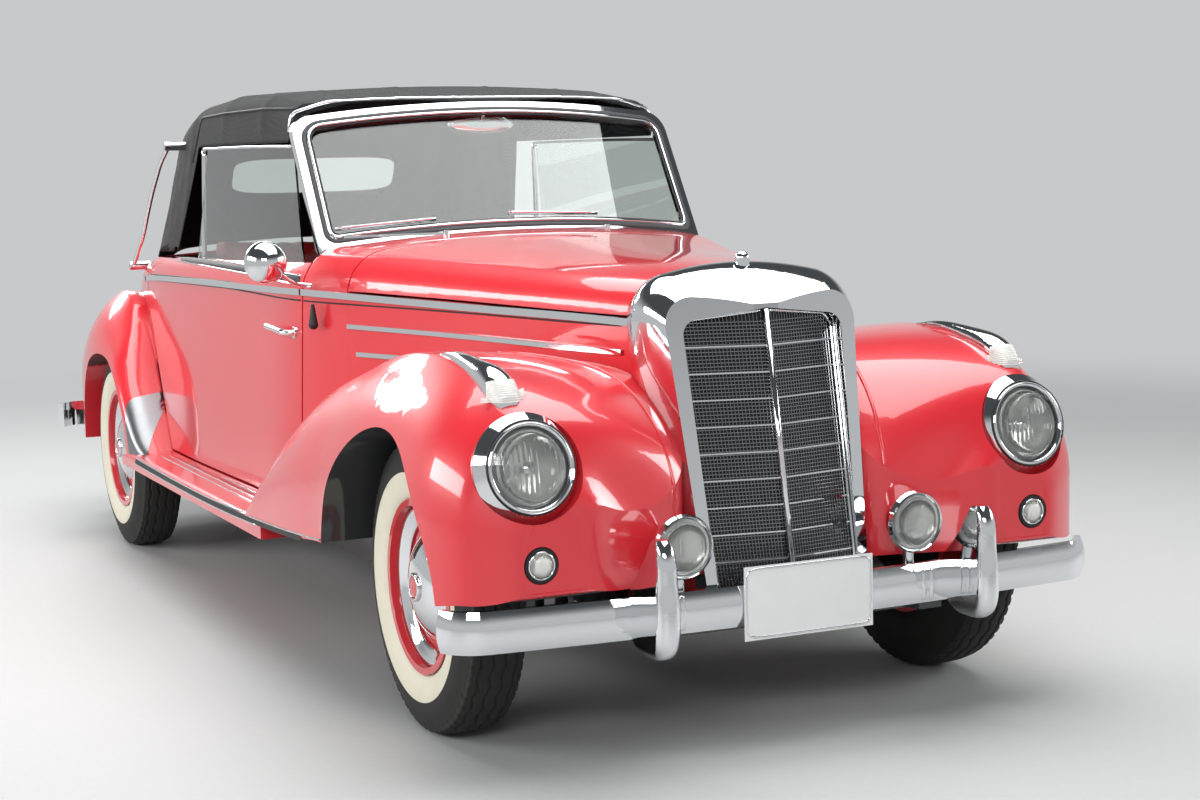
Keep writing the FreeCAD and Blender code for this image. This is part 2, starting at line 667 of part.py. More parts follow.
def grown_pane(grow):
    """The pane's form a little thicker and longer, for its slot."""
    wide = glass_sheet(((GLASS_FRONT_LOW - grow * 2, GLASS_FOOT - grow),
                        (GLASS_FRONT_HIGH - grow * 2, GLASS_TOP),
                        (GLASS_REAR_HIGH + grow * 2, GLASS_TOP),
                        (GLASS_REAR_LOW + grow * 2, GLASS_FOOT - grow)))
    outer = wide.copy()
    outer.translate(Vector(grow, 0, 0))
    wide.translate(Vector(-grow, 0, 0))
    return wide.fuse(outer).fuse(glass_sheet(((GLASS_FRONT_LOW - grow, GLASS_FOOT - grow),
                                              (GLASS_FRONT_HIGH - grow, GLASS_TOP),
                                              (GLASS_REAR_HIGH + grow, GLASS_TOP),
                                              (GLASS_REAR_LOW + grow, GLASS_FOOT - grow))))


door_leaf = door_leaf.cut(grown_pane(SEAT_GAP).common(
    slab(-FAR, FAR, 0, FAR, slot_floor - SEAT_GAP, FAR)))
for side_name, side in SIDES:
    for name, shape in (("door_%s", door_leaf), ("door_glass_%s", pane_low)):
        shaped(name % side_name, shape if side > 0 else other_side(shape))

# Wings with their wheel wells, lamp seats and the nose cut out of them
LAMP_SEAT = 10
lamp_turn = Rotation(Vector(1, 0, 0), 90 - size("lamp_lean"))
lamp_spot = Vector(size("lamp_x"), along(size("lamp_station")), size("lamp_height"))
lamp_axis = lamp_turn.multVec(UP)


def lamp_bore(radius, front, back):
    """A round hole along the headlamp's axis, from front of its face to behind it."""
    start = lamp_spot + lamp_axis * front
    return Part.makeCylinder(radius, front + back, start, lamp_axis * -1)


BUCKET_DEPTH = 96
TURN_BACK = -470
front_wing = front_wing_form.cut(front_well)
front_wing = front_wing.cut(nose_form(0)).cut(
    body_form.common(slab(NOSE_STATION, FAR, -FAR, FAR, 0, FAR)))
front_wing = front_wing.cut(lamp_bore(size("bucket_radius") + SEAT_GAP, FAR, BUCKET_DEPTH))
front_wing = front_wing.cut(lamp_bore(size("lamp_radius") + SEAT_GAP, FAR, LAMP_SEAT))
turn_hole = Part.makeCylinder(size("turn_radius") + SEAT_GAP, FAR, Vector(
    size("turn_x"), along(TURN_BACK), size("turn_height")), Vector(0, -1, 0))
front_wing = front_wing.cut(turn_hole)
front_wing = front_wing.common(slab(-FAR, size("door_front") - size("door_gap"), 0, FAR, 0, FAR))
RAIL_ROOM_HIGH = 620
front_wing = front_wing.cut(slab(-size("arch_radius"), FAR, 0, size("arch_inner"), 0,
                                 RAIL_ROOM_HIGH))
shaped("front_wings", both_sides(front_wing))

# Inside, the tyre has its running room, stepped in beside the tread: radius, outer side.
# The opening in the outer skin is lower than the tyre and reaches further back
AXLE_ROOM, TYRE_ROOM = 500, ((351, 790), (318, 806))
ARCH_MIDDLE, ARCH_HALF_LONG, ARCH_HALF_HIGH = 2895, 372, 331
rear_wing = rear_wing_form.cut(body_form)
for radius, outer_side in TYRE_ROOM:
    rear_wing = rear_wing.cut(Part.makeCylinder(
        radius, outer_side - AXLE_ROOM,
        Vector(AXLE_ROOM, along(size("wheelbase")), size("tyre_radius")), Vector(1, 0, 0)))
arch = Part.Face(Part.Wire([Part.Ellipse(
    Vector(0, 0, 0), ARCH_HALF_LONG, ARCH_HALF_HIGH).toShape()]))
arch.rotate(Vector(0, 0, 0), Vector(1, 1, 1), 120)
arch.translate(Vector(size("rear_well_inner"), along(ARCH_MIDDLE), size("tyre_radius")))
rear_wing = rear_wing.cut(arch.extrude(Vector(FAR, 0, 0)))
rear_wing = max(rear_wing.Solids, key=lambda piece: piece.Volume)
shaped("rear_wings", both_sides(rear_wing))

# Running boards between the wings
BOARD_FRONT, BOARD_TOP, BOARD_BASE, BOARD_INNER, BOARD_ROLL = 900, 372, 326, 640, 18
board = slab(BOARD_FRONT, size("door_rear_low") + 200, BOARD_INNER, size("side_reach"),
             BOARD_BASE, BOARD_TOP)
board = board.makeFillet(BOARD_ROLL, [
    edge for edge in board.Edges if edge.BoundBox.YLength > 1
    and edge.CenterOfMass.x > size("side_reach") - 1 and edge.CenterOfMass.z > BOARD_TOP - 1])
board = board.cut(body_form).cut(front_wing_form).cut(rear_wing_form)
board = max(board.Solids, key=lambda piece: piece.Volume)
shaped("running_boards", both_sides(board))

# Floor, tunnel, firewall, rear bulkhead and rear wheel boxes in one
wall = size("sheet_wall")
low, rear_low = size("floor_height"), size("rear_floor_height")
firewall, bulkhead, riser = (size(alias) for alias in (
    "firewall_station", "bulkhead_station", "riser_station"))
BULKHEAD_TOP, REAR_FLOOR_END = 930, 3600
floor = slab(firewall, riser, -FAR, FAR, low, low + wall)
floor = floor.fuse(slab(firewall, firewall + wall, -FAR, FAR, low, FAR))
floor = floor.fuse(slab(riser, riser + wall, -FAR, FAR, low, rear_low + wall))
floor = floor.fuse(slab(riser, REAR_FLOOR_END, -FAR, FAR, rear_low, rear_low + wall))
floor = floor.fuse(slab(bulkhead, bulkhead + wall, -FAR, FAR, rear_low, BULKHEAD_TOP))
half, high = size("tunnel_half"), size("tunnel_height")
tunnel_out = slab(firewall, riser + wall, -half, half, low, low + high)
tunnel_in = slab(firewall - 1, riser + wall + 1, wall - half, half - wall, 0,
                 low + high - wall)
floor = floor.fuse(tunnel_out).cut(tunnel_in)
box_skin = wheel_well(size("wheelbase"), size("rear_well_inner") - wall, grow=wall)
for skin in (box_skin, other_side(box_skin)):
    floor = floor.fuse(skin.common(slab(-FAR, FAR, -FAR, FAR, rear_low, FAR)))
for well in (rear_well, other_side(rear_well)):
    floor = floor.cut(well)
floor = floor.common(lining_form)
shaped("floor_pan", floor.removeSplitter())

# Frame: two rails that rise over the axles, cross members between them
# A rail's line: station, top, depth
RAIL_LINE = ((-500, 328, 60), (-380, 328, 70), (-280, 392, 96), (-60, 392, 96),
             (330, 240, 96), (2300, 240, 96), (2640, 468, 66), (3080, 468, 66),
             (3400, 440, 66), (3690, 400, 60))
# The cross members: station, base, length
CROSS_MEMBERS = ((-440, 262, 60), (-130, 300, 120), (1100, 160, 90), (2200, 160, 80),
                 (3120, 402, 60), (3620, 344, 50))
CROSS_HIGH = 56
inner, wide = size("rail_inner"), size("rail_wide")
rail_corners = [(station, top) for station, top, depth in RAIL_LINE]
rail_corners += [(station, top - depth) for station, top, depth in reversed(RAIL_LINE)]
rail = side_prism(rail_corners, inner, inner + wide)
frame = rail.fuse(other_side(rail))
for station, base, length in CROSS_MEMBERS:
    frame = frame.fuse(slab(station, station + length, -inner - 1, inner + 1, base,
                            base + CROSS_HIGH))
shaped("chassis_frame", frame.removeSplitter())

# Windscreen: a leaning sheet bent by an arc, split into its frame and its glass
SCREEN_HALF = 591
SCREEN_FOOT_SIDE, SCREEN_FOOT_MIDDLE = (1060, 1062), (985, 1098)
SCREEN_HEAD_SIDE, SCREEN_HEAD_MIDDLE = (1312, 1450), (1252, 1492)


def between(low, high, share):
    """The station and height a share of the way from one spot to another."""
    return [first + (last - first) * share for first, last in zip(low, high)]


def screen_arc(share, half, depth):
    """The bow of the screen across the car at a share of its height. Every width lies on
    the circle through the screen's middle and its two corners."""
    side = Vector(0, *between(SCREEN_FOOT_SIDE, SCREEN_HEAD_SIDE, share))
    middle = Vector(0, *between(SCREEN_FOOT_MIDDLE, SCREEN_HEAD_MIDDLE, share))
    sag = (side - middle).Length
    radius = (SCREEN_HALF**2 + sag**2) / (2 * sag)
    end = middle + (side - middle) * ((radius - math.sqrt(radius**2 - half**2)) / sag)
    return Part.Arc(Vector(-half, along(end.y + depth), end.z),
                    Vector(0, along(middle.y + depth), middle.z),
                    Vector(half, along(end.y + depth), end.z)).toShape()


def screen_sheet(low, high, narrow, front, back):
    """A sheet of the screen between two shares of its height and two depths."""
    half = SCREEN_HALF - narrow
    face = Part.makeRuledSurface(screen_arc(low, half, front), screen_arc(high, half, front))
    return face.extrude(Vector(0, back - front, 0))


SCREEN_LOW, SCREEN_HIGH, SCREEN_REBATE = 0.135, 0.915, 6
frame_width, frame_depth = size("screen_frame"), size("screen_depth")
HEAD_CORNERS = ((SCREEN_HALF, 1, 62), (SCREEN_HALF - frame_width, SCREEN_HIGH, 44))


def corner_cut(half, share, radius):
    """What a rounded upper corner takes off the screen at a half width, on both sides."""
    edge = screen_arc(share, half - radius, 0).Vertexes[0].Z
    corner = Vector(half - radius, -FAR, edge - radius)
    block = Part.makeBox(radius * 2, FAR * 2, radius * 3, corner)
    return both_sides(block.cut(Part.makeCylinder(radius, FAR * 2, corner, Vector(0, 1, 0))))


screen = screen_sheet(0, 1, 0, 0, frame_depth).cut(corner_cut(*HEAD_CORNERS[0]))
opening = screen_sheet(SCREEN_LOW, SCREEN_HIGH, frame_width, -FAR / 50, FAR / 50)
screen = screen.cut(opening.cut(corner_cut(*HEAD_CORNERS[1])))
glass_front = (frame_depth - size("glass_thick")) / 2
glass_back = glass_front + size("glass_thick")
EDGE_SHARE = 0.02
pane_room = screen_sheet(SCREEN_LOW - EDGE_SHARE, SCREEN_HIGH + EDGE_SHARE,
                         frame_width - SCREEN_REBATE - SEAT_GAP,
                         glass_front - SEAT_GAP, glass_back + SEAT_GAP)
screen_frame = screen.cut(pane_room).cut(body_form)
shaped("windscreen_frame", screen_frame)
shaped("windscreen_glass", screen_sheet(
    SCREEN_LOW - EDGE_SHARE + 0.001, SCREEN_HIGH + EDGE_SHARE - 0.001,
    frame_width - SCREEN_REBATE, glass_front, glass_back))

# Soft top: hoops from the windscreen to the rear deck, hollow, with the side openings
CANOPY_COLUMNS = "station foot_half foot_z side_half side_z top_z shoulder"
CANOPY_SECTIONS = (
    (1180, 612, 990, 579, 1394, 1478, 60),
    (1310, 614, 990, 578, 1424, 1506, 60),
    (1450, 617, 990, 577, 1448, 1529, 60),
    (1600, 620, 990, 576, 1462, 1546, 62),
    (1780, 624, 990, 574, 1470, 1557, 64),
    (1980, 628, 990, 572, 1471, 1560, 66),
    (2180, 629, 988, 569, 1466, 1558, 67),
    (2380, 629, 986, 564, 1457, 1549, 68),
    (2560, 628, 985, 557, 1440, 1532, 70),
    (2710, 626, 984, 549, 1407, 1498, 72),
    (2830, 621, 982, 541, 1354, 1446, 72),
    (2920, 613, 976, 534, 1271, 1360, 68),
    (2990, 602, 968, 529, 1163, 1248, 60),
    (3040, 590, 952, 526, 1050, 1126, 50),
    (3066, 580, 935, 530, 985, 1040, 38),
)


def canopy(inset):
    """The soft top's form, drawn in by its padding."""
    sections = []
    for row in CANOPY_SECTIONS:
        values = dict(zip(CANOPY_COLUMNS.split(), row))
        hoop = body_section(values["station"], values["foot_half"] - inset,
                            values["foot_z"] - inset * 20, values["side_half"] - inset,
                            values["side_z"] - inset / 2, values["top_z"] - inset,
                            values["shoulder"])
        sections.append(hoop)
    return lofted(sections)


canopy_out = canopy(0)
canopy_in = canopy(size("canopy_wall")).common(slab(-FAR, 3030, -FAR, FAR, 0, FAR))
hood = canopy_out.cut(canopy_in)
screen_room = screen_sheet(-0.2, 1.15, -100, -FAR / 10, frame_depth + SEAT_GAP)
hood = hood.cut(screen_room)
below_belt = side_prism(((0, -FAR), (0, size("belt_front") + SEAT_GAP + 26),
                         (size("door_front"), size("belt_front") + SEAT_GAP),
                         (CABIN_REAR, size("belt_rear") + SEAT_GAP), (FAR, size("belt_rear")),
                         (FAR, -FAR)), -FAR, FAR)
hood = hood.cut(below_belt.common(slab(0, CABIN_REAR, -FAR, FAR, -FAR, FAR))).cut(body_form)
SIDE_OPENING = ((900, 900), (900, 1250), (1300, 1384), (2405, 1384), (2560, 1050), (2560, 900))
hood = hood.cut(side_prism(SIDE_OPENING, -FAR, FAR))
WINDOW_HALF, WINDOW_LOW, WINDOW_HIGH = 310, 1215, 1345
WINDOW_FRONT, WINDOW_REAR, WINDOW_CORNER = 2800, 3040, 52


def window_zone(gap):
    """The rear window's opening drawn in by a gap, with round corners."""
    zone = slab(WINDOW_FRONT, WINDOW_REAR, gap - WINDOW_HALF, WINDOW_HALF - gap,
                WINDOW_LOW + gap, WINDOW_HIGH - gap)
    return zone.makeFillet(WINDOW_CORNER, [edge for edge in zone.Edges
                                           if edge.BoundBox.YLength > WINDOW_HALF / 2])


window_hole = window_zone(0)
hood = hood.cut(window_hole)
hood = max(hood.Solids, key=lambda piece: piece.Volume)
shaped("soft_top", hood)
WINDOW_SET, WINDOW_THICK = 10, 5
window_skin = canopy(WINDOW_SET).cut(canopy(WINDOW_SET + WINDOW_THICK))
window = window_skin.common(window_zone(SEAT_GAP))
shaped("rear_window", max(window.Solids, key=lambda piece: piece.Volume))

# Bumpers: blades bent round the corners, with overriders and brackets
BLADE_ARCS = ((375, 6), (62, 70))


def blade(middle, base, away):
    """A blade bowed across the car whose ends wrap round the corners."""
    half_thick, tall = size("blade_thick") / 2, size("blade_high")
    here = Vector(0, along(middle), base + tall / 2)
    heading = Vector(1, 0, 0)
    path = []
    for reach, turn in BLADE_ARCS:
        onward = Vector(math.cos(math.radians(turn)), -away * math.sin(math.radians(turn)), 0)
        corner = here + heading * reach
        there = corner + onward * reach
        path.append(tangent_arc(here, corner, there))
        here, heading = there, onward
    back, shoulder = -away * half_thick, away * half_thick * 0.2
    front = away * half_thick
    spots = [Vector(0, along(middle) + y, base + z) for y, z in (
        (back, 0), (back, tall), (shoulder, tall), (front, tall / 2), (shoulder, 0))]
    profile = Part.Wire([straight(spots[0], spots[1]), straight(spots[1], spots[2]),
                         Part.Arc(*spots[2:]).toShape(), straight(spots[4], spots[0])])
    half = Part.Wire(path).makePipeShell([profile], True, True)
    return half.fuse(other_side(half)).removeSplitter()


GUARD_COLUMNS = "rise front_share back_share half_share"
GUARD_SECTIONS = (
    (0, 0.26, 0.66, 0.55),
    (26, 0.06, 0.88, 0.93),
    (66, 0, 1, 1),
    (122, 0.01, 1, 0.95),
    (180, 0.04, 0.68, 0.86),
    (238, 0.10, 0.43, 0.74),
    (258, 0.20, 0.37, 0.55),
)


def overrider(tip, back, base):
    """A tall horn standing on the blade: wide below, rounded in front, leaning at its top."""
    deep = back - tip
    middle = size("guard_x")
    sections = []
    for row in GUARD_SECTIONS:
        values = dict(zip(GUARD_COLUMNS.split(), row))
        half, z = size("guard_wide") / 2 * values["half_share"], base + values["rise"]
        front, rear = (along(tip + deep * values[key]) for key in ("front_share", "back_share"))
        cheek = front + math.copysign(half, deep)
        spots = [Vector(middle - half, rear, z), Vector(middle - half, cheek, z),
                 Vector(middle, front, z), Vector(middle + half, cheek, z),
                 Vector(middle + half, rear, z)]
        sections.append(Part.Wire([straight(spots[0], spots[1]), Part.Arc(*spots[1:4]).toShape(),
                                   straight(spots[3], spots[4]), straight(spots[4], spots[0])]))
    return lofted(sections)


front_base, rear_base = size("front_blade_base"), size("rear_blade_base")
nose, tail_end = size("front_blade_station"), size("rear_blade_station")
front_blade = blade(nose, front_base, -1)
rear_blade = blade(tail_end, rear_base, 1)
GUARD_SINK = 20
front_guard = overrider(size("front_tip"), nose + GUARD_SINK, front_base - 26)
rear_guard = overrider(size("rear_tip"), tail_end - 30, rear_base - 30)
bracket_wide = size("rail_wide")
BRACKET_LOW, BRACKET_HIGH = 300, 326
front_bracket = slab(nose + 12, RAIL_LINE[1][0], inner + wide + SEAT_GAP,
                     inner + wide + 24, BRACKET_LOW, BRACKET_HIGH)
rear_bracket = slab(RAIL_LINE[-1][0] + SEAT_GAP, tail_end - 12, inner, inner + bracket_wide,
                    345, 395)
for label, pieces in (("front_bumper", (front_blade, front_guard, front_bracket)),
                      ("rear_bumper", (rear_blade, rear_guard, rear_bracket))):
    whole = pieces[0]
    for piece in pieces[1:]:
        whole = whole.fuse(piece).fuse(other_side(piece))
    shaped(label, whole.removeSplitter())

# Number plates, blank
plate_half, plate_high = size("plate_long") / 2, size("plate_high")
PLATE_THICK, FRONT_PLATE_BASE, REAR_PLATE_BASE = 3, 258, 450
plate_back = nose - size("blade_thick") / 2 - SEAT_GAP
front_plate = slab(plate_back - PLATE_THICK, plate_back, -plate_half, plate_half,
                   FRONT_PLATE_BASE, FRONT_PLATE_BASE + plate_high)
rear_plate = slab(tail_end - 50, tail_end - 50 + PLATE_THICK, -plate_half, plate_half,
                  REAR_PLATE_BASE, REAR_PLATE_BASE + plate_high)
shaped("number_plates", Part.makeCompound([front_plate, rear_plate]))

# Headlamps
bezel = turned("headlamp_right_bezel", (
    ("lamp_glass - 3", "-14", None), ("lamp_glass - 3", "-30", None),
    ("lamp_glass + 4", "-34", None), ("lamp_radius", "-2", None),
    ("lamp_radius", "10 - seat_gap", None), ("bucket_radius", "10 - seat_gap", None),
    ("bucket_radius", "94", None), ("0", "94", None), ("0", "80", None),
    ("40", "72", None), ("lamp_glass - 10", "6", None), ("lamp_glass - 3", "-8", None)),
    "lamp_x", "front_axle + lamp_station", "lamp_height", "V_Axis")
bezel.Placement.Rotation = Rotation(Vector(1, 0, 0), -size("lamp_lean"))
lens = turned("lamp_lens", (
    ("0", "-14", None), ("0", "-34", "260"), ("lamp_glass - 3.3", "-17", None),
    ("lamp_glass - 3.3", "-14", None)), "lamp_x", "front_axle + lamp_station", "lamp_height",
    "V_Axis")
lens.Placement.Rotation = Rotation(Vector(1, 0, 0), -size("lamp_lean"))
doc.recompute()
shaped("headlamp_bezels", both_sides(bezel.Shape))

# Fog lamps on stalks from the bumper
fog = turned("fog_lamp", (
    ("0", "0", None), ("fog_radius - 10", "0", None), ("fog_radius - 4", "-8", None),
    ("fog_radius", "2", None), ("fog_radius - 6", "20", None), ("fog_radius / 2", "48", None),
    ("0", "54", None)), "fog_x", "front_axle + fog_station", "fog_height", "V_Axis")
doc.recompute()
stalk = Part.makeCylinder(13, 70, Vector(size("fog_x"), along(size("fog_station") + 30), 350))
shaped("fog_lamps", both_sides(fog.Shape.fuse(stalk)))
fog_lens = turned("fog_lens", (
    ("0", "-seat_gap", None), ("0", "-12", "320"), ("fog_radius - 12", "-6", None),
    ("fog_radius - 12", "-seat_gap", None)), "fog_x", "front_axle + fog_station",
    "fog_height", "V_Axis")

# Direction lamps in the wings' noses
ring = turned("turn_ring", (
    ("0", "0", None), ("turn_radius - 14", "0", None), ("turn_radius - 12", "-8", None),
    ("turn_radius - 2", "-8", None), ("turn_radius", "0", None),
    ("turn_radius", "30", None), ("0", "30", None)),
    "turn_x", "front_axle - 502", "turn_height", "V_Axis")
turn_lens = turned("turn_lens", (
    ("0", "-seat_gap", None), ("0", "-16", "50"), ("turn_radius - 14.3", "-9", None),
    ("turn_radius - 14.3", "-seat_gap", None)), "turn_x", "front_axle - 502", "turn_height",
    "V_Axis")
doc.recompute()
# Their repeaters hang as dark drops under the belt moulding, ahead of the doors
DROP_X, DROP_STATION, DROP_TOP, DROP_FOOT, DROP_WIDE = 650, 968, 944, 888, 13
drop_foot = Vector(DROP_X, along(DROP_STATION), DROP_FOOT)
repeater = Part.makeSphere(DROP_WIDE, drop_foot).fuse(
    Part.makeCone(DROP_WIDE, DROP_WIDE / 3, DROP_TOP - DROP_FOOT, drop_foot)).cut(body_form)
repeater = max(repeater.Solids, key=lambda piece: piece.Volume)
shaped("indicators", Part.makeCompound([both_sides(ring.Shape), both_sides(repeater)]))

# Side lamps: chromed drops on the wings' crowns
# Their sections: station, half width, top, foot
DROP_SECTIONS = ((-404, 20, 822, 700), (-372, 32, 858, 700), (-290, 32, 884, 700),
                 (-170, 20, 894, 700), (-60, 9, 892, 700), (2, 3, 883, 700))
WING_TOP_X = 651
drop_sections = []
for station, half, top_z, foot_z in DROP_SECTIONS:
    y = along(station)
    left = Vector(WING_TOP_X - half, y, top_z - half)
    right = Vector(WING_TOP_X + half, y, top_z - half)
    left_foot, right_foot = Vector(left.x, y, foot_z), Vector(right.x, y, foot_z)
    drop_sections.append(Part.Wire([
        straight(left_foot, left), Part.Arc(left, Vector(WING_TOP_X, y, top_z), right).toShape(),
        straight(right, right_foot), straight(right_foot, left_foot)]))
drop = lofted(drop_sections).cut(front_wing_form).cut(
    lamp_bore(size("lamp_radius") + 4, FAR, LAMP_SEAT))
drop = max(drop.Solids, key=lambda piece: piece.Volume)
shaped("wing_lamps", both_sides(drop))

# Tail lamps on the rear wings
tail = turned("tail_lamp", (
    ("0", "80", None), ("0", "-28", "46"), ("tail_radius - 8", "-6", None),
    ("tail_radius - 4", "-6", None), ("tail_radius", "0", None), ("tail_radius", "80", None)),
    "tail_x", "front_axle + tail_station", "tail_height", "V_Axis")
tail.Placement.Rotation = Rotation(UP, 180)
doc.recompute()
tail_shape = tail.Shape.cut(rear_wing_form)
tail_shape = max(tail_shape.Solids, key=lambda piece: piece.CenterOfMass.y)
shaped("tail_lamps", both_sides(tail_shape))
shaped("lamp_lenses", Part.makeCompound([
    both_sides(lens.Shape), both_sides(fog_lens.Shape), both_sides(turn_lens.Shape)]))

# Wheels: tyre, rim and hub cap turned about the axle, with the outside of the car at +X
TYRE_PROFILE = (
    ("-bead_half", "bead_radius", None), ("bead_half", "bead_radius", None),
    ("tyre_side", "bulge_radius", None), ("tread_half", "tyre_radius", None),
    ("-tread_half", "tyre_radius", None), ("-tyre_side", "bulge_radius", None),
)
RIM_PROFILE = (
    ("-bead_half - rim_skin", "flange_radius", None),
    ("-bead_half - rim_skin", "bead_radius - rim_skin", None),
    ("-bead_half / 2 - rim_skin", "bead_radius - rim_skin", None),
    ("-bead_half / 2", "well_radius - rim_skin", None),
    ("-drum_back + plate_thick + 20", "well_radius - rim_skin", None),
    ("disc_face - 20", "well_radius - 40", None), ("disc_face - 26", "cap_radius - 30", None),
    ("disc_face - 26", "spindle_radius + hub_wall", None),
    ("-drum_back + plate_thick + 6", "spindle_radius + hub_wall", None),
    ("-drum_back + plate_thick + 6", "spindle_radius + spindle_play", None),
    ("disc_face", "spindle_radius + spindle_play", None),
    ("disc_face", "spindle_radius + hub_wall", None),
    ("disc_face - 18", "cap_radius - 30", None), ("disc_face - 0.3", "cap_radius - 6", None),
    ("disc_face - 0.3", "cap_radius + 12", None), ("disc_face - 6", "well_radius - 14", None),
    ("bead_half - 16", "bead_radius - rim_skin", None),
    ("bead_half + rim_skin", "bead_radius - rim_skin", None),
    ("bead_half + rim_skin", "flange_radius", None),
    ("bead_half + flange_lean", "flange_radius", None),
    ("bead_half + seat_gap", "bead_radius - seat_gap", None),
    ("bead_half / 2", "bead_radius - seat_gap", None), ("bead_half / 3", "well_radius", None),
    ("-bead_half / 3", "well_radius", None), ("-bead_half / 2", "bead_radius - seat_gap", None),
    ("-bead_half - seat_gap", "bead_radius - seat_gap", None),
    ("-bead_half - flange_lean", "flange_radius", None),
)
CAP_PROFILE = (
    ("disc_face", "cap_radius", None), ("disc_face", "cap_radius - 8", None),
    ("disc_face + 6", "cap_radius - 16", None), ("disc_face + cap_height - 10", "0", None),
    ("disc_face + cap_height", "0", None), ("disc_face + cap_height - 4", "26", "140"),
    ("disc_face + 8", "cap_radius", None),
)
AXLES = (("front", "0", "track_front / 2"), ("rear", "wheelbase", "track_rear / 2"))
for end_name, station, reach in AXLES:
    for side_name, side in SIDES:
        for piece, profile in (("tyre", TYRE_PROFILE), ("rim", RIM_PROFILE),
                               ("hubcap", CAP_PROFILE)):
            label = "%s_%s_%s" % (piece, end_name, side_name)
            wheel = turned(label, profile, "%d * %s" % (side, reach),
                           "front_axle + " + station, "tyre_radius")
            if side < 0:
                wheel.Placement.Rotation = Rotation(UP, 180)
            keep(wheel, label)

# Knuckles: backing plate, spindle, kingpin and steering arm
ARM_LONG, ARM_WIDE, ARM_THICK, ARM_DROP = 132, 26, 16, 40
SPINDLE_END = 30
for side_name, side in SIDES:
    hub = Vector(0, along(0), size("tyre_radius"))
    reach, back = size("track_front") / 2, size("drum_back")
    out = Vector(1, 0, 0)
    plate = Part.makeCylinder(size("drum_radius"), size("plate_thick"),
                              hub + out * (reach - back), out)
    spindle = Part.makeCylinder(size("spindle_radius"), size("kingpin_offset") + SPINDLE_END,
                                hub + out * (reach - size("kingpin_offset")), out)
    pin_foot = hub + out * (reach - size("kingpin_offset")) - UP * size("kingpin_half")
    kingpin = Part.makeCylinder(size("kingpin_radius"), size("kingpin_half") * 2, pin_foot)
    arm = Part.makeBox(ARM_WIDE, ARM_LONG, ARM_THICK, pin_foot + Vector(
        -ARM_WIDE, 0, size("kingpin_half") - ARM_DROP))
    knuckle = plate.fuse(spindle).fuse(kingpin).fuse(arm).removeSplitter()
    shaped("knuckle_" + side_name, knuckle if side > 0 else other_side(knuckle))

# Front suspension: wishbones and springs on the frame's cross member
EYE_WIDE, ROOT_WIDE, ARM_PLATE = 34, 110, 20
pin_x = size("track_front") / 2 - size("kingpin_offset")
frame_face = inner + wide + SEAT_GAP
wishbones = []
for pin_z in (size("tyre_radius") - size("kingpin_half") - SEAT_GAP - ARM_PLATE,
              size("tyre_radius") + size("kingpin_half") + SEAT_GAP):
    spots = [Vector(x, along(y), pin_z) for x, y in (
        (frame_face, -ROOT_WIDE), (pin_x + EYE_WIDE / 2, -EYE_WIDE),
        (pin_x + EYE_WIDE / 2, EYE_WIDE), (frame_face, ROOT_WIDE))]
    plate = Part.Face(Part.makePolygon(spots + spots[:1])).extrude(UP * ARM_PLATE)
    wishbones.append(plate)
tower = slab(-ROOT_WIDE, ROOT_WIDE, frame_face, frame_face + 14, 232, 478)
spring = Part.makeCylinder(48, 200, Vector(460, along(0), 258))
suspension = wishbones[0].fuse(wishbones[1]).fuse(tower).fuse(spring).removeSplitter()
shaped("front_suspension", both_sides(suspension))

# Rear axle: tube, final drive housing and backing plates
hub = Vector(0, along(size("wheelbase")), size("tyre_radius"))
across = Vector(1, 0, 0)
reach = size("track_rear") / 2
AXLE_RADIUS, HOUSING_RADIUS = 44, 112
axle = Part.makeSphere(HOUSING_RADIUS, hub)
for side_name, side in SIDES:
    outward = across * side
    tube = Part.makeCylinder(AXLE_RADIUS, reach - size("drum_back"), hub, outward)
    plate = Part.makeCylinder(size("drum_radius"), size("plate_thick"),
                              hub + outward * (reach - size("drum_back")), outward)
    spindle = Part.makeCylinder(size("spindle_radius"), reach + SPINDLE_END, hub, outward)
    axle = axle.fuse(tube).fuse(plate).fuse(spindle)
pinion = slab(size("wheelbase") - 260, size("wheelbase"), -40, 40, 305, 385)
shaft = Part.makeCylinder(30, 1500, Vector(0, along(1090), 345), Vector(0, 1, 0))
shaped("rear_axle", axle.fuse(pinion).fuse(shaft).removeSplitter())

# Engine and gearbox as one plain block
block = slab(size("engine_station"), size("engine_station") + size("engine_long"),
             -size("engine_wide") / 2, size("engine_wide") / 2, size("engine_base"),
             size("engine_base") + size("engine_tall"))
gearbox = Part.makeCylinder(88, 400, Vector(0, along(680), 348), Vector(0, 1, 0))
shaped("engine_block", block.fuse(gearbox).cut(floor).removeSplitter())

# Exhaust: pipe and silencer under the left of the floor
PIPE_RADIUS, SILENCER_RADIUS, PIPE_X, PIPE_Z = 24, 62, 220, 262
pipe = Part.makeCylinder(PIPE_RADIUS, 2960, Vector(PIPE_X, along(820), PIPE_Z), Vector(0, 1, 0))
silencer = Part.makeCylinder(SILENCER_RADIUS, 620, Vector(PIPE_X, along(1500), PIPE_Z),
                             Vector(0, 1, 0))
shaped("exhaust", pipe.fuse(silencer).removeSplitter())

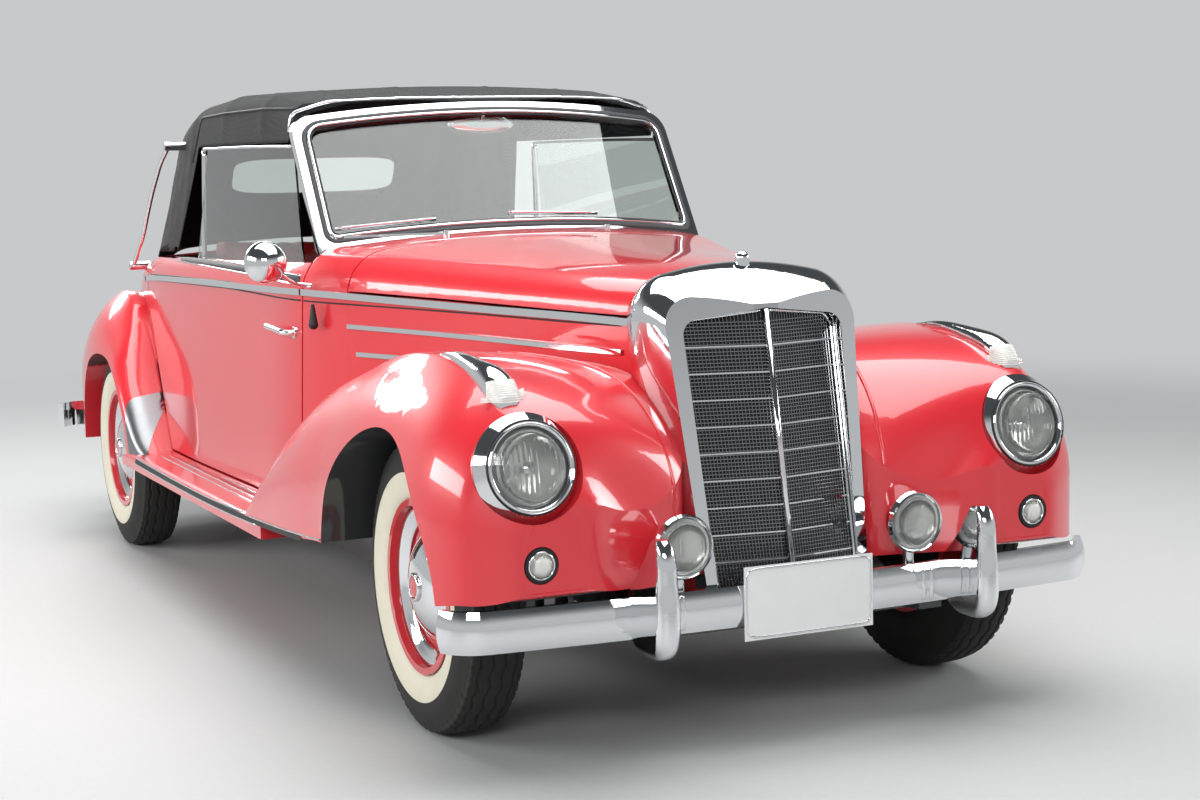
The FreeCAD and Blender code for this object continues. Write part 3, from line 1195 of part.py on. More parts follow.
# Seats, dashboard and steering wheel
floor_top = size("floor_height") + size("sheet_wall") + SEAT_GAP
front_seat_x, seat_wide = size("seat_x"), size("seat_wide")
seat_station, seat_long = size("seat_station"), size("seat_long")
seat_base, cushion = size("seat_base"), size("cushion_high")
BACK_LEAN = 90
seats = []
for first, wide_seat, x, base, tall, foot_end in (
        (seat_station, seat_wide, front_seat_x, seat_base, size("back_high"), FAR),
        (size("bench_station"), size("bench_wide"), 0, size("bench_base"), size("bench_back"),
         size("riser_station") - 10)):
    half = wide_seat / 2
    back = size("back_thick")
    profile = ((first, base), (first, base + cushion), (first + seat_long - back, base + cushion),
               (first + seat_long - back + BACK_LEAN, base + cushion + tall),
               (first + seat_long + BACK_LEAN, base + cushion + tall),
               (first + seat_long, base))
    seat = side_prism(profile, x - half, x + half)
    seat = seat.makeFillet(30, [edge for edge in seat.Edges if edge.CenterOfMass.z
                                > base + 1 and edge.BoundBox.XLength > half])
    pedestal = slab(first + 60, min(first + seat_long - 60, foot_end), x - half + 80,
                    x + half - 80, floor_top, base).cut(tunnel_out)
    seats.append(seat.fuse(pedestal))
shaped("front_seats", both_sides(seats[0]))
shaped("rear_seat", seats[1])
DASH_FRONT, DASH_BACK, DASH_LOW, DASH_HIGH = 1130, 1190, 790, 1060
dash = slab(DASH_FRONT, DASH_BACK, -FAR, FAR, DASH_LOW, DASH_HIGH).common(lining_form)
lean = math.radians(size("wheel_lean"))
hub = Vector(size("wheel_x"), along(size("wheel_station")), size("wheel_height"))
column_way = Vector(0, -math.sin(lean), -math.cos(lean))
COLUMN_GAP, COLUMN_LONG = 18, 660
column = Part.makeCylinder(size("column_radius"), COLUMN_LONG, hub + column_way * COLUMN_GAP,
                           column_way)
column = column.common(slab(size("firewall_station") + wall + 1, FAR, -FAR, FAR, 0, FAR))
shaped("dashboard", dash.fuse(column).removeSplitter())
rim_ring = Part.makeTorus(size("wheel_radius"), size("wheel_grip"), hub, column_way)
wheel_hub = Part.makeCylinder(34, 26, hub + column_way * -8, column_way)
SPOKE_HALF = 9
spokes = wheel_hub
for turn in (90, 210, 330):
    spoke = Part.makeBox(size("wheel_radius"), SPOKE_HALF * 2, SPOKE_HALF, Vector(
        0, -SPOKE_HALF, -SPOKE_HALF / 2))
    spoke.rotate(Vector(0, 0, 0), UP, turn)
    spoke.rotate(Vector(0, 0, 0), Vector(1, 0, 0), -size("wheel_lean"))
    spoke.translate(hub)
    spokes = spokes.fuse(spoke)
shaped("steering_wheel", rim_ring.fuse(spokes))

# Bright mouldings along the belt and the bonnet sides
STRIP_PROUD, STRIP_ROOT = 9, 30
# The strips on the bonnet's sides: rear end, front end, height at each, half their height
SIDE_STRIPS = ((850, -150, 888, 873, 6), (816, 150, 815, 811, 6))
MOULDING_END = 2892


def side_half(station_row, z):
    """Half the tub's width at a height, on the straight side of a section."""
    values = dict(zip(BODY_COLUMNS.split(), station_row))
    share = (z - values["sill_z"]) / (values["belt_z"] - values["sill_z"])
    return values["sill_half"] + (values["belt_half"] - values["sill_half"]) * share


def moulding(heights, tall):
    """A strip along the tub's side through every body section, on its skin."""
    sections = []
    for row_values, z in zip(BODY_SECTIONS, heights):
        x, y = side_half(row_values, z), along(row_values[0])
        spots = [Vector(x + dx, y, z + dz) for dx, dz in (
            (-STRIP_ROOT, -tall), (STRIP_PROUD, -tall), (STRIP_PROUD, tall), (-STRIP_ROOT, tall))]
        sections.append(Part.makePolygon(spots + spots[:1]))
    return lofted(sections).cut(body_form)


belt_strip = moulding([values[4] for values in BODY_SECTIONS], STRIP_HALF)
fixed_strips = []
for first, last in ((NOSE_STATION + 4, size("door_front") - 1),
                    (size("door_rear_high") + 12, MOULDING_END)):
    fixed_strips.append(belt_strip.common(slab(first, last, 0, FAR, 0, FAR)))
for rear_end, front_end, rear_z, front_z, tall in SIDE_STRIPS:
    slope = (rear_z - front_z) / (rear_end - front_end)
    heights = [front_z + slope * (values[0] - front_end) for values in BODY_SECTIONS]
    strip = moulding(heights, tall).common(slab(front_end, rear_end, 0, FAR, 0, FAR))
    fixed_strips.append(strip.cut(front_wing_form))
fixed_strips = [max(strip.Solids, key=lambda piece: piece.Volume) for strip in fixed_strips]
shaped("mouldings", Part.makeCompound([both_sides(strip) for strip in fixed_strips]))

def rod_through(spots, radius):
    """A round rod along straight runs joined by tangent arcs at the inner spots."""
    points = [Vector(x, along(station), z) for x, station, z in spots]
    edges = []
    here = points[0]
    for before, corner, after in zip(points, points[1:], points[2:]):
        reach = min((corner - before).Length, (after - corner).Length) * 0.4
        first = corner + (before - corner).normalize() * reach
        last = corner + (after - corner).normalize() * reach
        if (first - here).Length > 1e-6:
            edges.append(straight(here, first))
        edges.append(tangent_arc(first, corner, last))
        here = last
    edges.append(straight(here, points[-1]))
    profile = Part.Wire([Part.makeCircle(radius, points[0], points[1] - points[0])])
    return Part.Wire(edges).makePipeShell([profile], True, True)


# Door trim: its stretch of the belt moulding and the handle, a lever on a round boss
HANDLE_LINE = ((620, 1112, 858), (690, 1112, 858), (697, 1262, 869))
LEVER_RADIUS, BOSS_RADIUS, BOSS_PROUD = 8, 17, 664
door_strip = belt_strip.common(side_prism(door_lines(size("door_gap")), WELL_HALF / 2, FAR))
boss_x, boss_station, boss_z = HANDLE_LINE[0]
boss = Part.makeCylinder(BOSS_RADIUS, BOSS_PROUD - boss_x,
                         Vector(boss_x, along(boss_station), boss_z), Vector(1, 0, 0))
handle = rod_through(HANDLE_LINE, LEVER_RADIUS).fuse(boss).cut(body_form).removeSplitter()
handle = max(handle.Solids, key=lambda piece: piece.Volume)
for side_name, side in SIDES:
    trim = Part.makeCompound([door_strip, handle])
    shaped("door_trim_" + side_name, trim if side > 0 else other_side(trim))

# Landau irons, wipers and the wing mirror
IRON_LINE = ((626, 2604, 1392), (640, 2672, 1338), (655, 2764, 1226), (663, 2814, 1150),
             (668, 2860, 1086), (678, 2985, 975))
IRON_RADIUS, IRON_KNOB = 8, 15
iron = rod_through(IRON_LINE, IRON_RADIUS)
for (x, station, z), skin_x in ((IRON_LINE[0], 570), (IRON_LINE[-1], 620)):
    knob = Part.makeCylinder(IRON_KNOB, x + IRON_KNOB - skin_x, Vector(skin_x, along(station), z),
                             Vector(1, 0, 0))
    knob = knob.cut(canopy_out).cut(body_form)
    iron = iron.fuse(max(knob.Solids, key=lambda piece: piece.CenterOfMass.x))
shaped("landau_irons", both_sides(iron.removeSplitter()))

WIPER_PIVOTS, WIPER_Z, WIPER_STATION, WIPER_LONG = (249, -249), 1112, 990, 300
wipers = []
for pivot in WIPER_PIVOTS:
    boss = Part.makeCylinder(9, 30, Vector(pivot, along(WIPER_STATION), WIPER_Z - 12))
    arm = Part.makeBox(WIPER_LONG, 7, 7, Vector(pivot - WIPER_LONG, along(WIPER_STATION) - 3,
                                                WIPER_Z + 6))
    wipers.append(boss.fuse(arm).cut(body_form).cut(screen).removeSplitter())
shaped("wipers", Part.makeCompound([max(wiper.Solids, key=lambda piece: piece.Volume)
                                    for wiper in wipers]))

MIRROR_LINE = ((-620, 1028, 990), (-684, 1024, 998), (-772, 985, 1061))
MIRROR_RADIUS, STEM_RADIUS = 58, 6
head_x, head_station, head_z = MIRROR_LINE[-1]
stem = rod_through(MIRROR_LINE, STEM_RADIUS).cut(body_form)
head = Part.makeSphere(MIRROR_RADIUS, Vector(head_x, along(head_station), head_z))
head = head.common(slab(head_station - MIRROR_RADIUS, head_station + STEM_RADIUS, -FAR, FAR,
                        0, FAR))
mirror = stem.fuse(head)
shaped("wing_mirror", max(mirror.Solids, key=lambda piece: piece.Volume))


# Check and write
doc.recompute()
for thing in doc.Objects:
    for state in ("Invalid", "Error"):
        if state in thing.State:
            raise RuntimeError("%s is %s" % (thing.Label, state))
for part in PARTS:
    if part.Shape.isNull() or not part.Shape.isValid():
        raise RuntimeError("bad shape: " + part.Label)
os.makedirs("parts", exist_ok=True)
for part in PARTS:
    part.Shape.exportStep("parts/%s.step" % part.Label)
    box_of = part.Shape.BoundBox
    print("%-18s %2d solids %9.1f l  x %.0f..%.0f y %.0f..%.0f z %.0f..%.0f" % (
        part.Label, len(part.Shape.Solids), part.Shape.Volume / 1e6, box_of.XMin, box_of.XMax,
        box_of.YMin, box_of.YMax, box_of.ZMin, box_of.ZMax))
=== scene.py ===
# %% [markdown]
# A two-door convertible of the early 1950s with its black soft top raised. The solid
# model gives every part its true size and place. This script dresses it: paint, chrome,
# cloth, glass and rubber, and the fine pieces that make a car look real. The car faces
# -Y, its left side is +X, and the ground is at z = 0. Lengths are in metres, but places
# on the body are in millimetres, because a body draughtsman numbers his stations so.

import json
import math

import bmesh
import bpy
import numpy as np
from mathutils import Matrix, Vector
from mathutils.bvhtree import BVHTree


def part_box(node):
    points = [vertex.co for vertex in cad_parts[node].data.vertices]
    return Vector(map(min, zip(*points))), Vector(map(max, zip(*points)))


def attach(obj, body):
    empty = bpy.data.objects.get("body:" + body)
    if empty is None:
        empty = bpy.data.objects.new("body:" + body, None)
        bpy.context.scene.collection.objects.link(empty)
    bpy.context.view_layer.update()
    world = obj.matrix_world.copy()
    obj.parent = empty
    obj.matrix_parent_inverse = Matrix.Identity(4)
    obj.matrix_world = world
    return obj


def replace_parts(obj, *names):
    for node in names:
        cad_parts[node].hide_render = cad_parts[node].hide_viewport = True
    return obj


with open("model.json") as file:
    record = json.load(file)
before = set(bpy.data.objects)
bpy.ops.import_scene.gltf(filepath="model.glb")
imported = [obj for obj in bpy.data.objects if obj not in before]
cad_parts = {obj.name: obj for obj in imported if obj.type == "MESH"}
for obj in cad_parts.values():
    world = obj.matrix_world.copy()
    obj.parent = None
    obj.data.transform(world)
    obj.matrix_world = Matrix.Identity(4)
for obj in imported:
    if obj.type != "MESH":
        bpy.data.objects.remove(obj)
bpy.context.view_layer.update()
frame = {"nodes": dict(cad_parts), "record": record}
nodes, record = frame["nodes"], frame["record"]
FRONT_AXLE, WHEELBASE, AXLE_HEIGHT = -1.599, 2.845, 0.345
SIDES = (("left", 1), ("right", -1))

# %% [markdown]
# A place along the car is easiest to read as a distance behind the front axle. Two
# helpers turn it into Y, alone and with its distance from the middle and its height.

# %% Places on the car


def along(station):
    """Y in metres of a station given in millimetres behind the front axle."""
    return FRONT_AXLE + np.asarray(station, float) / 1000


def car_point(x, station, z):
    """A point in metres from x, station and height in millimetres."""
    return np.stack(np.broadcast_arrays(np.asarray(x, float) / 1000, along(station),
                                        np.asarray(z, float) / 1000), -1)


# %% [markdown]
# Colours are written as sRGB hex, as a paint chart or a picture editor shows them. The
# renderer works in linear light, so one function converts them. A few more functions add
# what nearly every finish has: soft noise, two close colours and a fine relief.

# %% Colour and node helpers


def linear(text):
    """A hex colour in linear light: c/12.92 below 0.04045, else ((c+0.055)/1.055)^2.4."""
    parts = np.array([int(text[i:i + 2], 16) for i in (1, 3, 5)]) / 255
    parts = np.where(parts <= 0.04045, parts / 12.92, ((parts + 0.055) / 1.055) ** 2.4)
    return (*parts.tolist(), 1.0)


def add(tree, kind, inputs=None, **settings):
    """Adds a node. Inputs holds values or sockets by input name or number."""
    made = tree.nodes.new(kind)
    for key, value in settings.items():
        setattr(made, key, value)
    for key, value in (inputs or {}).items():
        if isinstance(value, bpy.types.NodeSocket):
            tree.links.new(value, made.inputs[key])
        else:
            made.inputs[key].default_value = value
    return made


def finish_named(name, **numbers):
    """A new material with the numbers of its shader set, its node tree, the shader and
    the object coordinates that its patterns lie in."""
    material = bpy.data.materials.new(name)
    material.use_nodes = True
    tree = material.node_tree
    shader = tree.nodes["Principled BSDF"]
    for key, value in numbers.items():
        shader.inputs[key.replace("_", " ")].default_value = value
    return material, tree, shader, add(tree, "ShaderNodeTexCoord").outputs["Object"]


def noise(tree, place, scale, **inputs):
    """Soft noise with so many lumps to the metre."""
    return add(tree, "ShaderNodeTexNoise", {"Vector": place, "Scale": scale, **inputs}).outputs[0]


def tinted(tree, shader, factor, colour, other):
    """Mixes two hex colours by a factor into the base colour."""
    blend = add(tree, "ShaderNodeMix", {0: factor, 6: linear(colour), 7: linear(other)},
                data_type="RGBA")
    tree.links.new(blend.outputs[2], shader.inputs["Base Color"])


def embossed(tree, shader, height, strength, reach, socket="Normal"):
    """Turns a pattern into a fine relief of the surface or of its coat."""
    relief = add(tree, "ShaderNodeBump", {
        "Height": height, "Strength": strength, "Distance": reach})
    tree.links.new(relief.outputs["Normal"], shader.inputs[socket])


# %% [markdown]
# Body paint of this age is cellulose enamel, sprayed and polished by hand: one solid
# colour with no metal flake, under a deep gloss. The coat gives the gloss, a faint ripple
# in the coat is the orange peel of the spray gun, and the colour drifts a little where
# sun has worked on it. The wheels are a shade deeper. The frame is brushed and duller,
# and the coat under the wings is thick, matt and lumpy.

# %% Paints


def enamel(name, colour, faded, rough=0.32, peel_mm=7.0, depth=0.06):
    material, tree, shader, place = finish_named(
        name, Roughness=rough, Coat_Weight=1.0, Coat_Roughness=0.035, IOR=1.5)
    tinted(tree, shader, noise(tree, place, 1.4, Detail=3.0), colour, faded)
    peel = noise(tree, place, 1000 / peel_mm, Detail=1.0)
    embossed(tree, shader, peel, depth, 0.0004, "Coat Normal")
    return material


body_enamel = enamel("coral_red_enamel", "#D3202B", "#DA2B36")
wheel_enamel = enamel("wheel_red_enamel", "#C61F29", "#CC2731", rough=0.38)
frame_enamel = enamel("black_frame_enamel", "#121314", "#1B1C1D", rough=0.45)
under_coat = enamel("dark_floor_coat", "#17181A", "#232426", rough=0.6, peel_mm=12, depth=0.3)

# %% [markdown]
# Chrome is a thin plating over polished steel or brass, so it is a plain mirror that
# shows the waves of the metal under it. Polishing leaves a very faint haze, and a wide,
# shallow ripple keeps long pieces from looking like a drawing. Silver in a lamp bowl is
# softer, brushed steel sheet is grey and satin, grille wire is duller, cast iron is
# rough and dark, and the exhaust is stained by heat.

# %% Metals


def plated(name, colour, rough, wave_mm=60.0, depth=0.02, haze=0.05):
    material, tree, shader, place = finish_named(name, Metallic=1.0, Base_Color=linear(colour))
    dull = add(tree, "ShaderNodeMapRange", {
        "Value": noise(tree, place, 45.0, Detail=4.0), "To Min": rough, "To Max": rough + haze})
    tree.links.new(dull.outputs[0], shader.inputs["Roughness"])
    embossed(tree, shader, noise(tree, place, 1000 / wave_mm), depth, 0.002)
    return material


chrome = plated("bright_chrome", "#E4E6E8", 0.03)
mirror_silver = plated("silvered_reflector", "#F6F6F4", 0.26, depth=0.0)
satin_metal = plated("satin_steel_sheet", "#8C8E91", 0.28, haze=0.1)
mesh_metal = plated("grille_wire", "#8E9092", 0.22, depth=0.0, haze=0.1)
cast_metal = plated("cast_iron", "#4A4A4B", 0.55, wave_mm=6, depth=0.5, haze=0.2)
pipe_metal = plated("sooty_pipe_steel", "#6E6862", 0.4, wave_mm=25, depth=0.1, haze=0.25)

# %% [markdown]
# Rubber is vulcanised and always matt. Tyres carry dust, so their black is really a dark
# warm grey, and the white wall is the cream of old rubber. Fresh seals are black. The seal
# of the windscreen has aged to grey.

# %% Rubber


def rubber(name, colour, dusty, rough):
    material, tree, shader, place = finish_named(name, Roughness=rough)
    dust = noise(tree, place, 1000 / 60, Detail=5.0, Roughness=0.6)
    tinted(tree, shader, dust, colour, dusty)
    embossed(tree, shader, noise(tree, place, 1000 / 1.5), 0.15, 0.0005)
    return material


tyre_black = rubber("tyre_tread_rubber", "#151515", "#262422", 0.72)
tyre_white = rubber("white_wall_rubber", "#E2DDCB", "#D2CBB6", 0.55)
seal_black = rubber("seal_rubber", "#0D0D0E", "#17171A", 0.5)
seal_grey = rubber("aged_seal_rubber", "#2B2C2F", "#3A3B3E", 0.55)

# %% [markdown]
# The hood is canvas woven from black cotton and rubberised inside. Real threads lie about
# 0.8 mm apart, too fine to show from here, so the weave is drawn at 3 mm. Sheen gives the
# soft grey edge that cloth has, and wide noise is the wear where it has been folded. The
# carpet is the same weave in wool, deeper and twice as coarse. Leather has cells for its
# grain and a darker red in its creases.

# %% Cloth, leather and carpet


def woven(name, colour, worn, thread_mm=3.0, sheen=0.25, depth=0.5):
    material, tree, shader, place = finish_named(
        name, Roughness=0.9, Sheen_Weight=sheen, Sheen_Roughness=0.4, Specular_IOR_Level=0.25)
    waves = [add(tree, "ShaderNodeTexWave", {
        "Vector": place, "Scale": 500 / thread_mm, "Distortion": 0.6, "Detail": 1.0,
        "Detail Scale": 1.5}, bands_direction=axis).outputs["Fac"] for axis in "XY"]
    weave = add(tree, "ShaderNodeMath", {0: waves[0], 1: waves[1]}, operation="MULTIPLY")
    embossed(tree, shader, weave.outputs[0], depth, 0.0008)
    tinted(tree, shader, noise(tree, place, 3.0, Detail=6.0, Roughness=0.65), colour, worn)
    return material


def leather(name, colour, creased):
    material, tree, shader, place = finish_named(name, Roughness=0.42, Coat_Weight=0.15)
    grain = add(tree, "ShaderNodeTexVoronoi", {"Vector": place, "Scale": 1000 / 4})
    tinted(tree, shader, noise(tree, place, 14.0, Detail=5.0), colour, creased)
    embossed(tree, shader, grain.outputs["Distance"], 0.25, 0.0006)
    return material


hood_canvas = woven("black_hood_canvas", "#0A0B0C", "#131416", sheen=0.12)
carpet_wool = woven("dark_wool_carpet", "#3A1416", "#4A1B1D", thread_mm=6, depth=0.9)
seat_hide = leather("red_seat_leather", "#8E1A1E", "#A32327")

# %% [markdown]
# Window glass is thin and almost clear, with a green cast at its edge. Lamp glass is
# pressed, so it is a little milky, fluted glass scatters more and the glass of the small
# lamps is white. The dashboard is walnut veneer under lacquer: rings stretched along the
# plank. The steering wheel, the dials and the plates are plain moulded or stoved finishes
# with a faint cloud in their colour. The near-black sheet behind the grille's wires is made
# the same way, and it is painted shade: it stands for the dark inside the grille's mouth.

# %% Glass, wood and plastic


def clear(name, tint, rough, weight):
    material, tree, shader, place = finish_named(
        name, Roughness=rough, IOR=1.5, Transmission_Weight=weight, Base_Color=linear(tint))
    embossed(tree, shader, noise(tree, place, 5.0), 0.02, 0.001)
    return material


def veneer(name, pale, dark):
    material, tree, shader, place = finish_named(
        name, Roughness=0.35, Coat_Weight=0.8, Coat_Roughness=0.06)
    stretch = add(tree, "ShaderNodeMapping", {"Vector": place, "Scale": (0.25, 1.0, 1.0)})
    rings = add(tree, "ShaderNodeTexWave", {
        "Vector": stretch.outputs[0], "Scale": 16.0, "Distortion": 9.0, "Detail": 4.0},
        wave_type="RINGS")
    tinted(tree, shader, rings.outputs["Fac"], dark, pale)
    return material


def moulded(name, colour, shade, rough, cloud_mm=20):
    material, tree, shader, place = finish_named(name, Roughness=rough, Coat_Weight=0.3)
    tinted(tree, shader, noise(tree, place, 1000 / cloud_mm, Detail=4.0), colour, shade)
    return material


window_glass = clear("window_glass", "#F1F7F4", 0.0, 1.0)
lamp_glass = clear("pressed_lamp_glass", "#F7F8F6", 0.04, 1.0)
tail_glass = clear("red_tail_glass", "#B01018", 0.1, 0.7)
fluted_glass = clear("fluted_lamp_glass", "#FAFBFA", 0.05, 0.9)
milk_glass = clear("milky_lamp_glass", "#F6F5F0", 0.18, 0.25)
walnut = veneer("walnut_veneer", "#8A5225", "#4A2710")
ivory = moulded("ivory_wheel_plastic", "#E6DEC6", "#D9CFB2", 0.3)
dial_cream = moulded("cream_dial_card", "#E9E2C8", "#DDD4B6", 0.5)
plate_white = moulded("white_plate_enamel", "#ECEDEB", "#E2E4E3", 0.35, cloud_mm=60)
# Painted shade: a near-black sheet that stands for the dark inside the grille's mouth.
grille_shade_sheet = moulded("painted_shade_behind_grille", "#0A0A0B", "#131315", 0.7)

# %% [markdown]
# Every part of the solid model gets the finish of its slot. The parts that later cells
# replace get one too, so that nothing is ever left plain. A new piece carries the slot of
# its own finish.

# %% Dress the solid parts
FINISH = {
    "body_paint": body_enamel, "wheel_paint": wheel_enamel, "frame_paint": frame_enamel,
    "floor_paint": carpet_wool, "chrome": chrome, "grille_metal": mesh_metal,
    "window_glass": window_glass, "lamp_glass": lamp_glass, "lamp_red": tail_glass,
    "top_cloth": hood_canvas, "plate_white": plate_white, "black_rubber": seal_black,
    "cast_metal": cast_metal, "pipe_steel": pipe_metal, "seat_leather": seat_hide,
    "dash_wood": walnut, "wheel_ivory": ivory, "tyre_rubber": tyre_black,
}
for row in record["subparts"]:
    mesh = nodes[row["node"]].data
    mesh.materials.clear()
    mesh.materials.append(FINISH[row["material_slot"]])
print("dressed", len(record["subparts"]), "parts")

# %% [markdown]
# New pieces are surfaces worked out on a grid. A piece is an array of points, rows by
# columns, and its faces join each point to its neighbours. A grid that closes on itself,
# like a hoop, joins its last row or column to its first.

# %% Grid surfaces


def linked(name, data):
    """A new object in the scene for some data."""
    thing = bpy.data.objects.new(name, data)
    bpy.context.scene.collection.objects.link(thing)
    return thing


def placed(name, points, faces, material, body="car", smooth=True):
    """A piece of points and faces that rides on a body and has its finish's slot."""
    mesh = bpy.data.meshes.new(name)
    mesh.from_pydata(points.reshape(-1, 3).tolist(), [], faces)
    mesh.polygons.foreach_set("use_smooth", [smooth] * len(mesh.polygons))
    mesh.materials.append(material)
    mesh.update()
    thing = linked(name, mesh)
    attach(thing, body)
    return thing


def surface(name, points, material, body="car", close_rows=False, close_columns=False,
            flip=False, cap_ends=False):
    """A mesh from an array of shape (rows, columns, 3) with quads between neighbours."""
    points = np.asarray(points, float)
    rows, columns = points.shape[:2]
    row, column = np.meshgrid(np.arange(rows if close_rows else rows - 1),
                              np.arange(columns if close_columns else columns - 1),
                              indexing="ij")
    after, beside = (row + 1) % rows, (column + 1) % columns
    quads = np.stack([row * columns + column, row * columns + beside,
                      after * columns + beside, after * columns + column], -1).reshape(-1, 4)
    faces = (quads[:, ::-1] if flip else quads).tolist()
    if cap_ends:
        first, last = list(range(columns)), list(range((rows - 1) * columns, rows * columns))
        faces += [first, last[::-1]] if flip else [first[::-1], last]
    return placed(name, points, faces, material, body)


def together(name, pieces):
    """Several finished pieces of one body as one object, with their materials kept."""
    with bpy.context.temp_override(active_object=pieces[0], object=pieces[0],
                                   selected_objects=pieces,
                                   selected_editable_objects=pieces):
        bpy.ops.object.join()
    pieces[0].name = name
    return pieces[0]


# %% [markdown]
# Trim lies on the body. A ray dropped on the solid model finds the skin under each point
# of a line, and a profile carried along that line becomes a bead, a bright strip or a
# seal. So trim follows the true form, as it does when it is pressed and screwed on. Rays
# are cast one by one, because the search tree has no call for a whole array.

# %% Trim laid on the body
# Rays to the car's flanks start this far from its middle, in millimetres.
BESIDE = 1500


def unit(vectors):
    """Vectors at length 1."""
    return vectors / np.linalg.norm(vectors, axis=-1, keepdims=True)


def in_car(node, vectors, place=True):
    """A flat list of a node's points, or directions where place is False, in the car."""
    matrix = np.array(nodes[node].matrix_world)
    return vectors.reshape(-1, 3) @ matrix[:3, :3].T + (matrix[:3, 3] if place else 0)


def skin(*names):
    """A search tree over the faces of some nodes, to find the surface along a ray."""
    corners, faces, base = [], [], 0
    for name in names:
        mesh = nodes[name].data
        mesh.calc_loop_triangles()
        triangles = np.empty(len(mesh.loop_triangles) * 3, np.int32)
        mesh.loop_triangles.foreach_get("vertices", triangles)
        corners.append(in_car(name, points_of(mesh)))
        faces.append(triangles.reshape(-1, 3) + base)
        base += len(corners[-1])
    return BVHTree.FromPolygons(np.vstack(corners).tolist(), np.vstack(faces).tolist())


def points_of(mesh):
    """A mesh's points as an array."""
    spots = np.empty(len(mesh.vertices) * 3)
    mesh.vertices.foreach_get("co", spots)
    return spots.reshape(-1, 3)


def even(values, times=2):
    """Rows of a table evened out by a mean of each with its two neighbours."""
    for _ in range(times):
        values = np.vstack([values[:1], (values[:-2] + values[1:-1] * 2 + values[2:]) / 4,
                            values[-1:]])
    return values


def laid(tree, starts, way, lift=0.0, smooth=3):
    """Where rays from the starts along one way meet a skin, and the skin's normals there.
    A ray that misses takes its place from its neighbours."""
    found = [tree.ray_cast(Vector(spot), Vector(way)) for spot in np.asarray(starts).tolist()]
    order = np.arange(len(found))
    hit = np.array([item[0] is not None for item in found])
    spots = np.array([item[0] for item in found if item[0] is not None])
    normals = np.array([item[1] for item in found if item[0] is not None])
    normals *= -np.sign(normals @ np.asarray(way, float))[:, None]
    spots, normals = (np.stack([np.interp(order, order[hit], part[:, k]) for k in range(3)], 1)
                      for part in (spots, normals))
    normals = unit(even(normals, smooth * 2))
    return even(spots, smooth) + normals * lift, normals


def paced(points, count, closed=False):
    """A line through points as count points at even distances."""
    way = np.append(0, np.cumsum(np.linalg.norm(np.diff(points, axis=0), axis=1)))
    places = np.linspace(0, way[-1], count, endpoint=not closed)
    return np.stack([np.interp(places, way, column) for column in points.T], 1)


def flowing(points, count, cuts=3):
    """A line through a few points with its corners cut off, as count even points."""
    points = np.asarray(points, float)
    for _ in range(cuts):
        quarter = np.stack([points[:-1] * 0.75 + points[1:] * 0.25,
                            points[:-1] * 0.25 + points[1:] * 0.75], 1)
        points = np.vstack([points[:1], quarter.reshape(-1, points.shape[1]), points[-1:]])
    return paced(points, count)


def half_round(wide, high, root=0.0015):
    """Half an ellipse over a flat foot, as corners (across, up)."""
    angle = np.linspace(0, np.pi, 7)
    return np.vstack([np.stack([np.cos(angle) * wide / 2, np.sin(angle) * high], 1),
                      [(-wide / 2, -root), (wide / 2, -root)]])


def strip(name, spots, normals, profile, material, body="car", closed=False, narrow=1.0):
    """A profile carried along a line: point + across * side + up * normal. Narrow scales
    the profile row by row, to bring a strip to a point. Where the skin under the line has
    ended, rows have no way to point along, and their places are undefined."""
    spots, normals = np.asarray(spots, float), np.asarray(normals, float)
    if closed:
        way = np.roll(spots, -1, 0) - np.roll(spots, 1, 0)
    else:
        way = np.gradient(spots, axis=0)
    way = unit(way)
    side = unit(np.cross(way, normals))
    up = np.cross(side, way)
    scale = np.ones(len(spots)) * narrow
    shape = np.asarray(profile)[None] * scale[:, None, None]
    points = spots[:, None] + side[:, None] * shape[:, :, :1] + up[:, None] * shape[:, :, 1:]
    return surface(name, points, material, body, close_rows=closed, close_columns=True,
                   flip=True, cap_ends=not closed)


def trim(name, tree, starts, way, profile, material, body="car", narrow=1.0):
    """A profile carried along the line where rays from the starts meet a skin."""
    return strip(name, *laid(tree, starts, way), profile, material, body, narrow=narrow)


def turned(name, profile, centre, axis, material, body="car", turns=64, closed=True):
    """A profile of (distance along the axis, radius) turned about an axis."""
    axis = np.asarray(axis, float) / np.linalg.norm(axis)
    first = unit(np.cross(axis, (0, 0, 1.0) if abs(axis[2]) < 0.9 else (1.0, 0, 0)))
    second = np.cross(axis, first)
    angle = np.linspace(0, 2 * np.pi, turns, endpoint=False)
    ring = np.cos(angle)[:, None] * first + np.sin(angle)[:, None] * second
    profile = np.asarray(profile, float)
    points = (np.asarray(centre) + profile[None, :, :1] * axis
              + profile[None, :, 1:] * ring[:, None])
    return surface(name, points, material, body, close_rows=True, close_columns=closed)


BEAD, BRIGHT = half_round(0.009, 0.0045), half_round(0.005, 0.0035)

# %% [markdown]
# Tyres are cross-ply, with a white wall on the outer side only. A tyre is its section
# carried round the axle. The tread's zigzag grooves are a change of radius that depends
# on the place across the tread and the angle, so they are real dents, not a picture.

# %% Tyres with white walls
SIDE_WALL = ((58, 199), (62, 206), (70, 214), (77, 230), (81, 250), (81.6, 262), (80.5, 275),
             (77.5, 290), (72.5, 304), (67, 315), (64, 326), (62, 336))
TREAD_HALF, TREAD_RADIUS, TREAD_FROM, SHOULDER_FROM = 60.5, 345, 0.333, 0.325
GROOVES, GROOVE_HALF, GROOVE_DEPTH, ZIGZAGS, ZIGZAG_HALF = (
    (-0.042, -0.0145, 0.0145, 0.042), 0.0034, 0.0062, 33, 0.004)
WHITE_FROM, WHITE_TO, TYRE_TURNS = 0.2035, 0.2675, 264
AXLES = {"front": (0.6575, FRONT_AXLE), "rear": (0.7175, FRONT_AXLE + WHEELBASE)}
WHEELS = [("%s_%s" % (end, side), np.array((sign * half, y, AXLE_HEIGHT)), sign)
          for end, (half, y) in AXLES.items() for side, sign in SIDES]


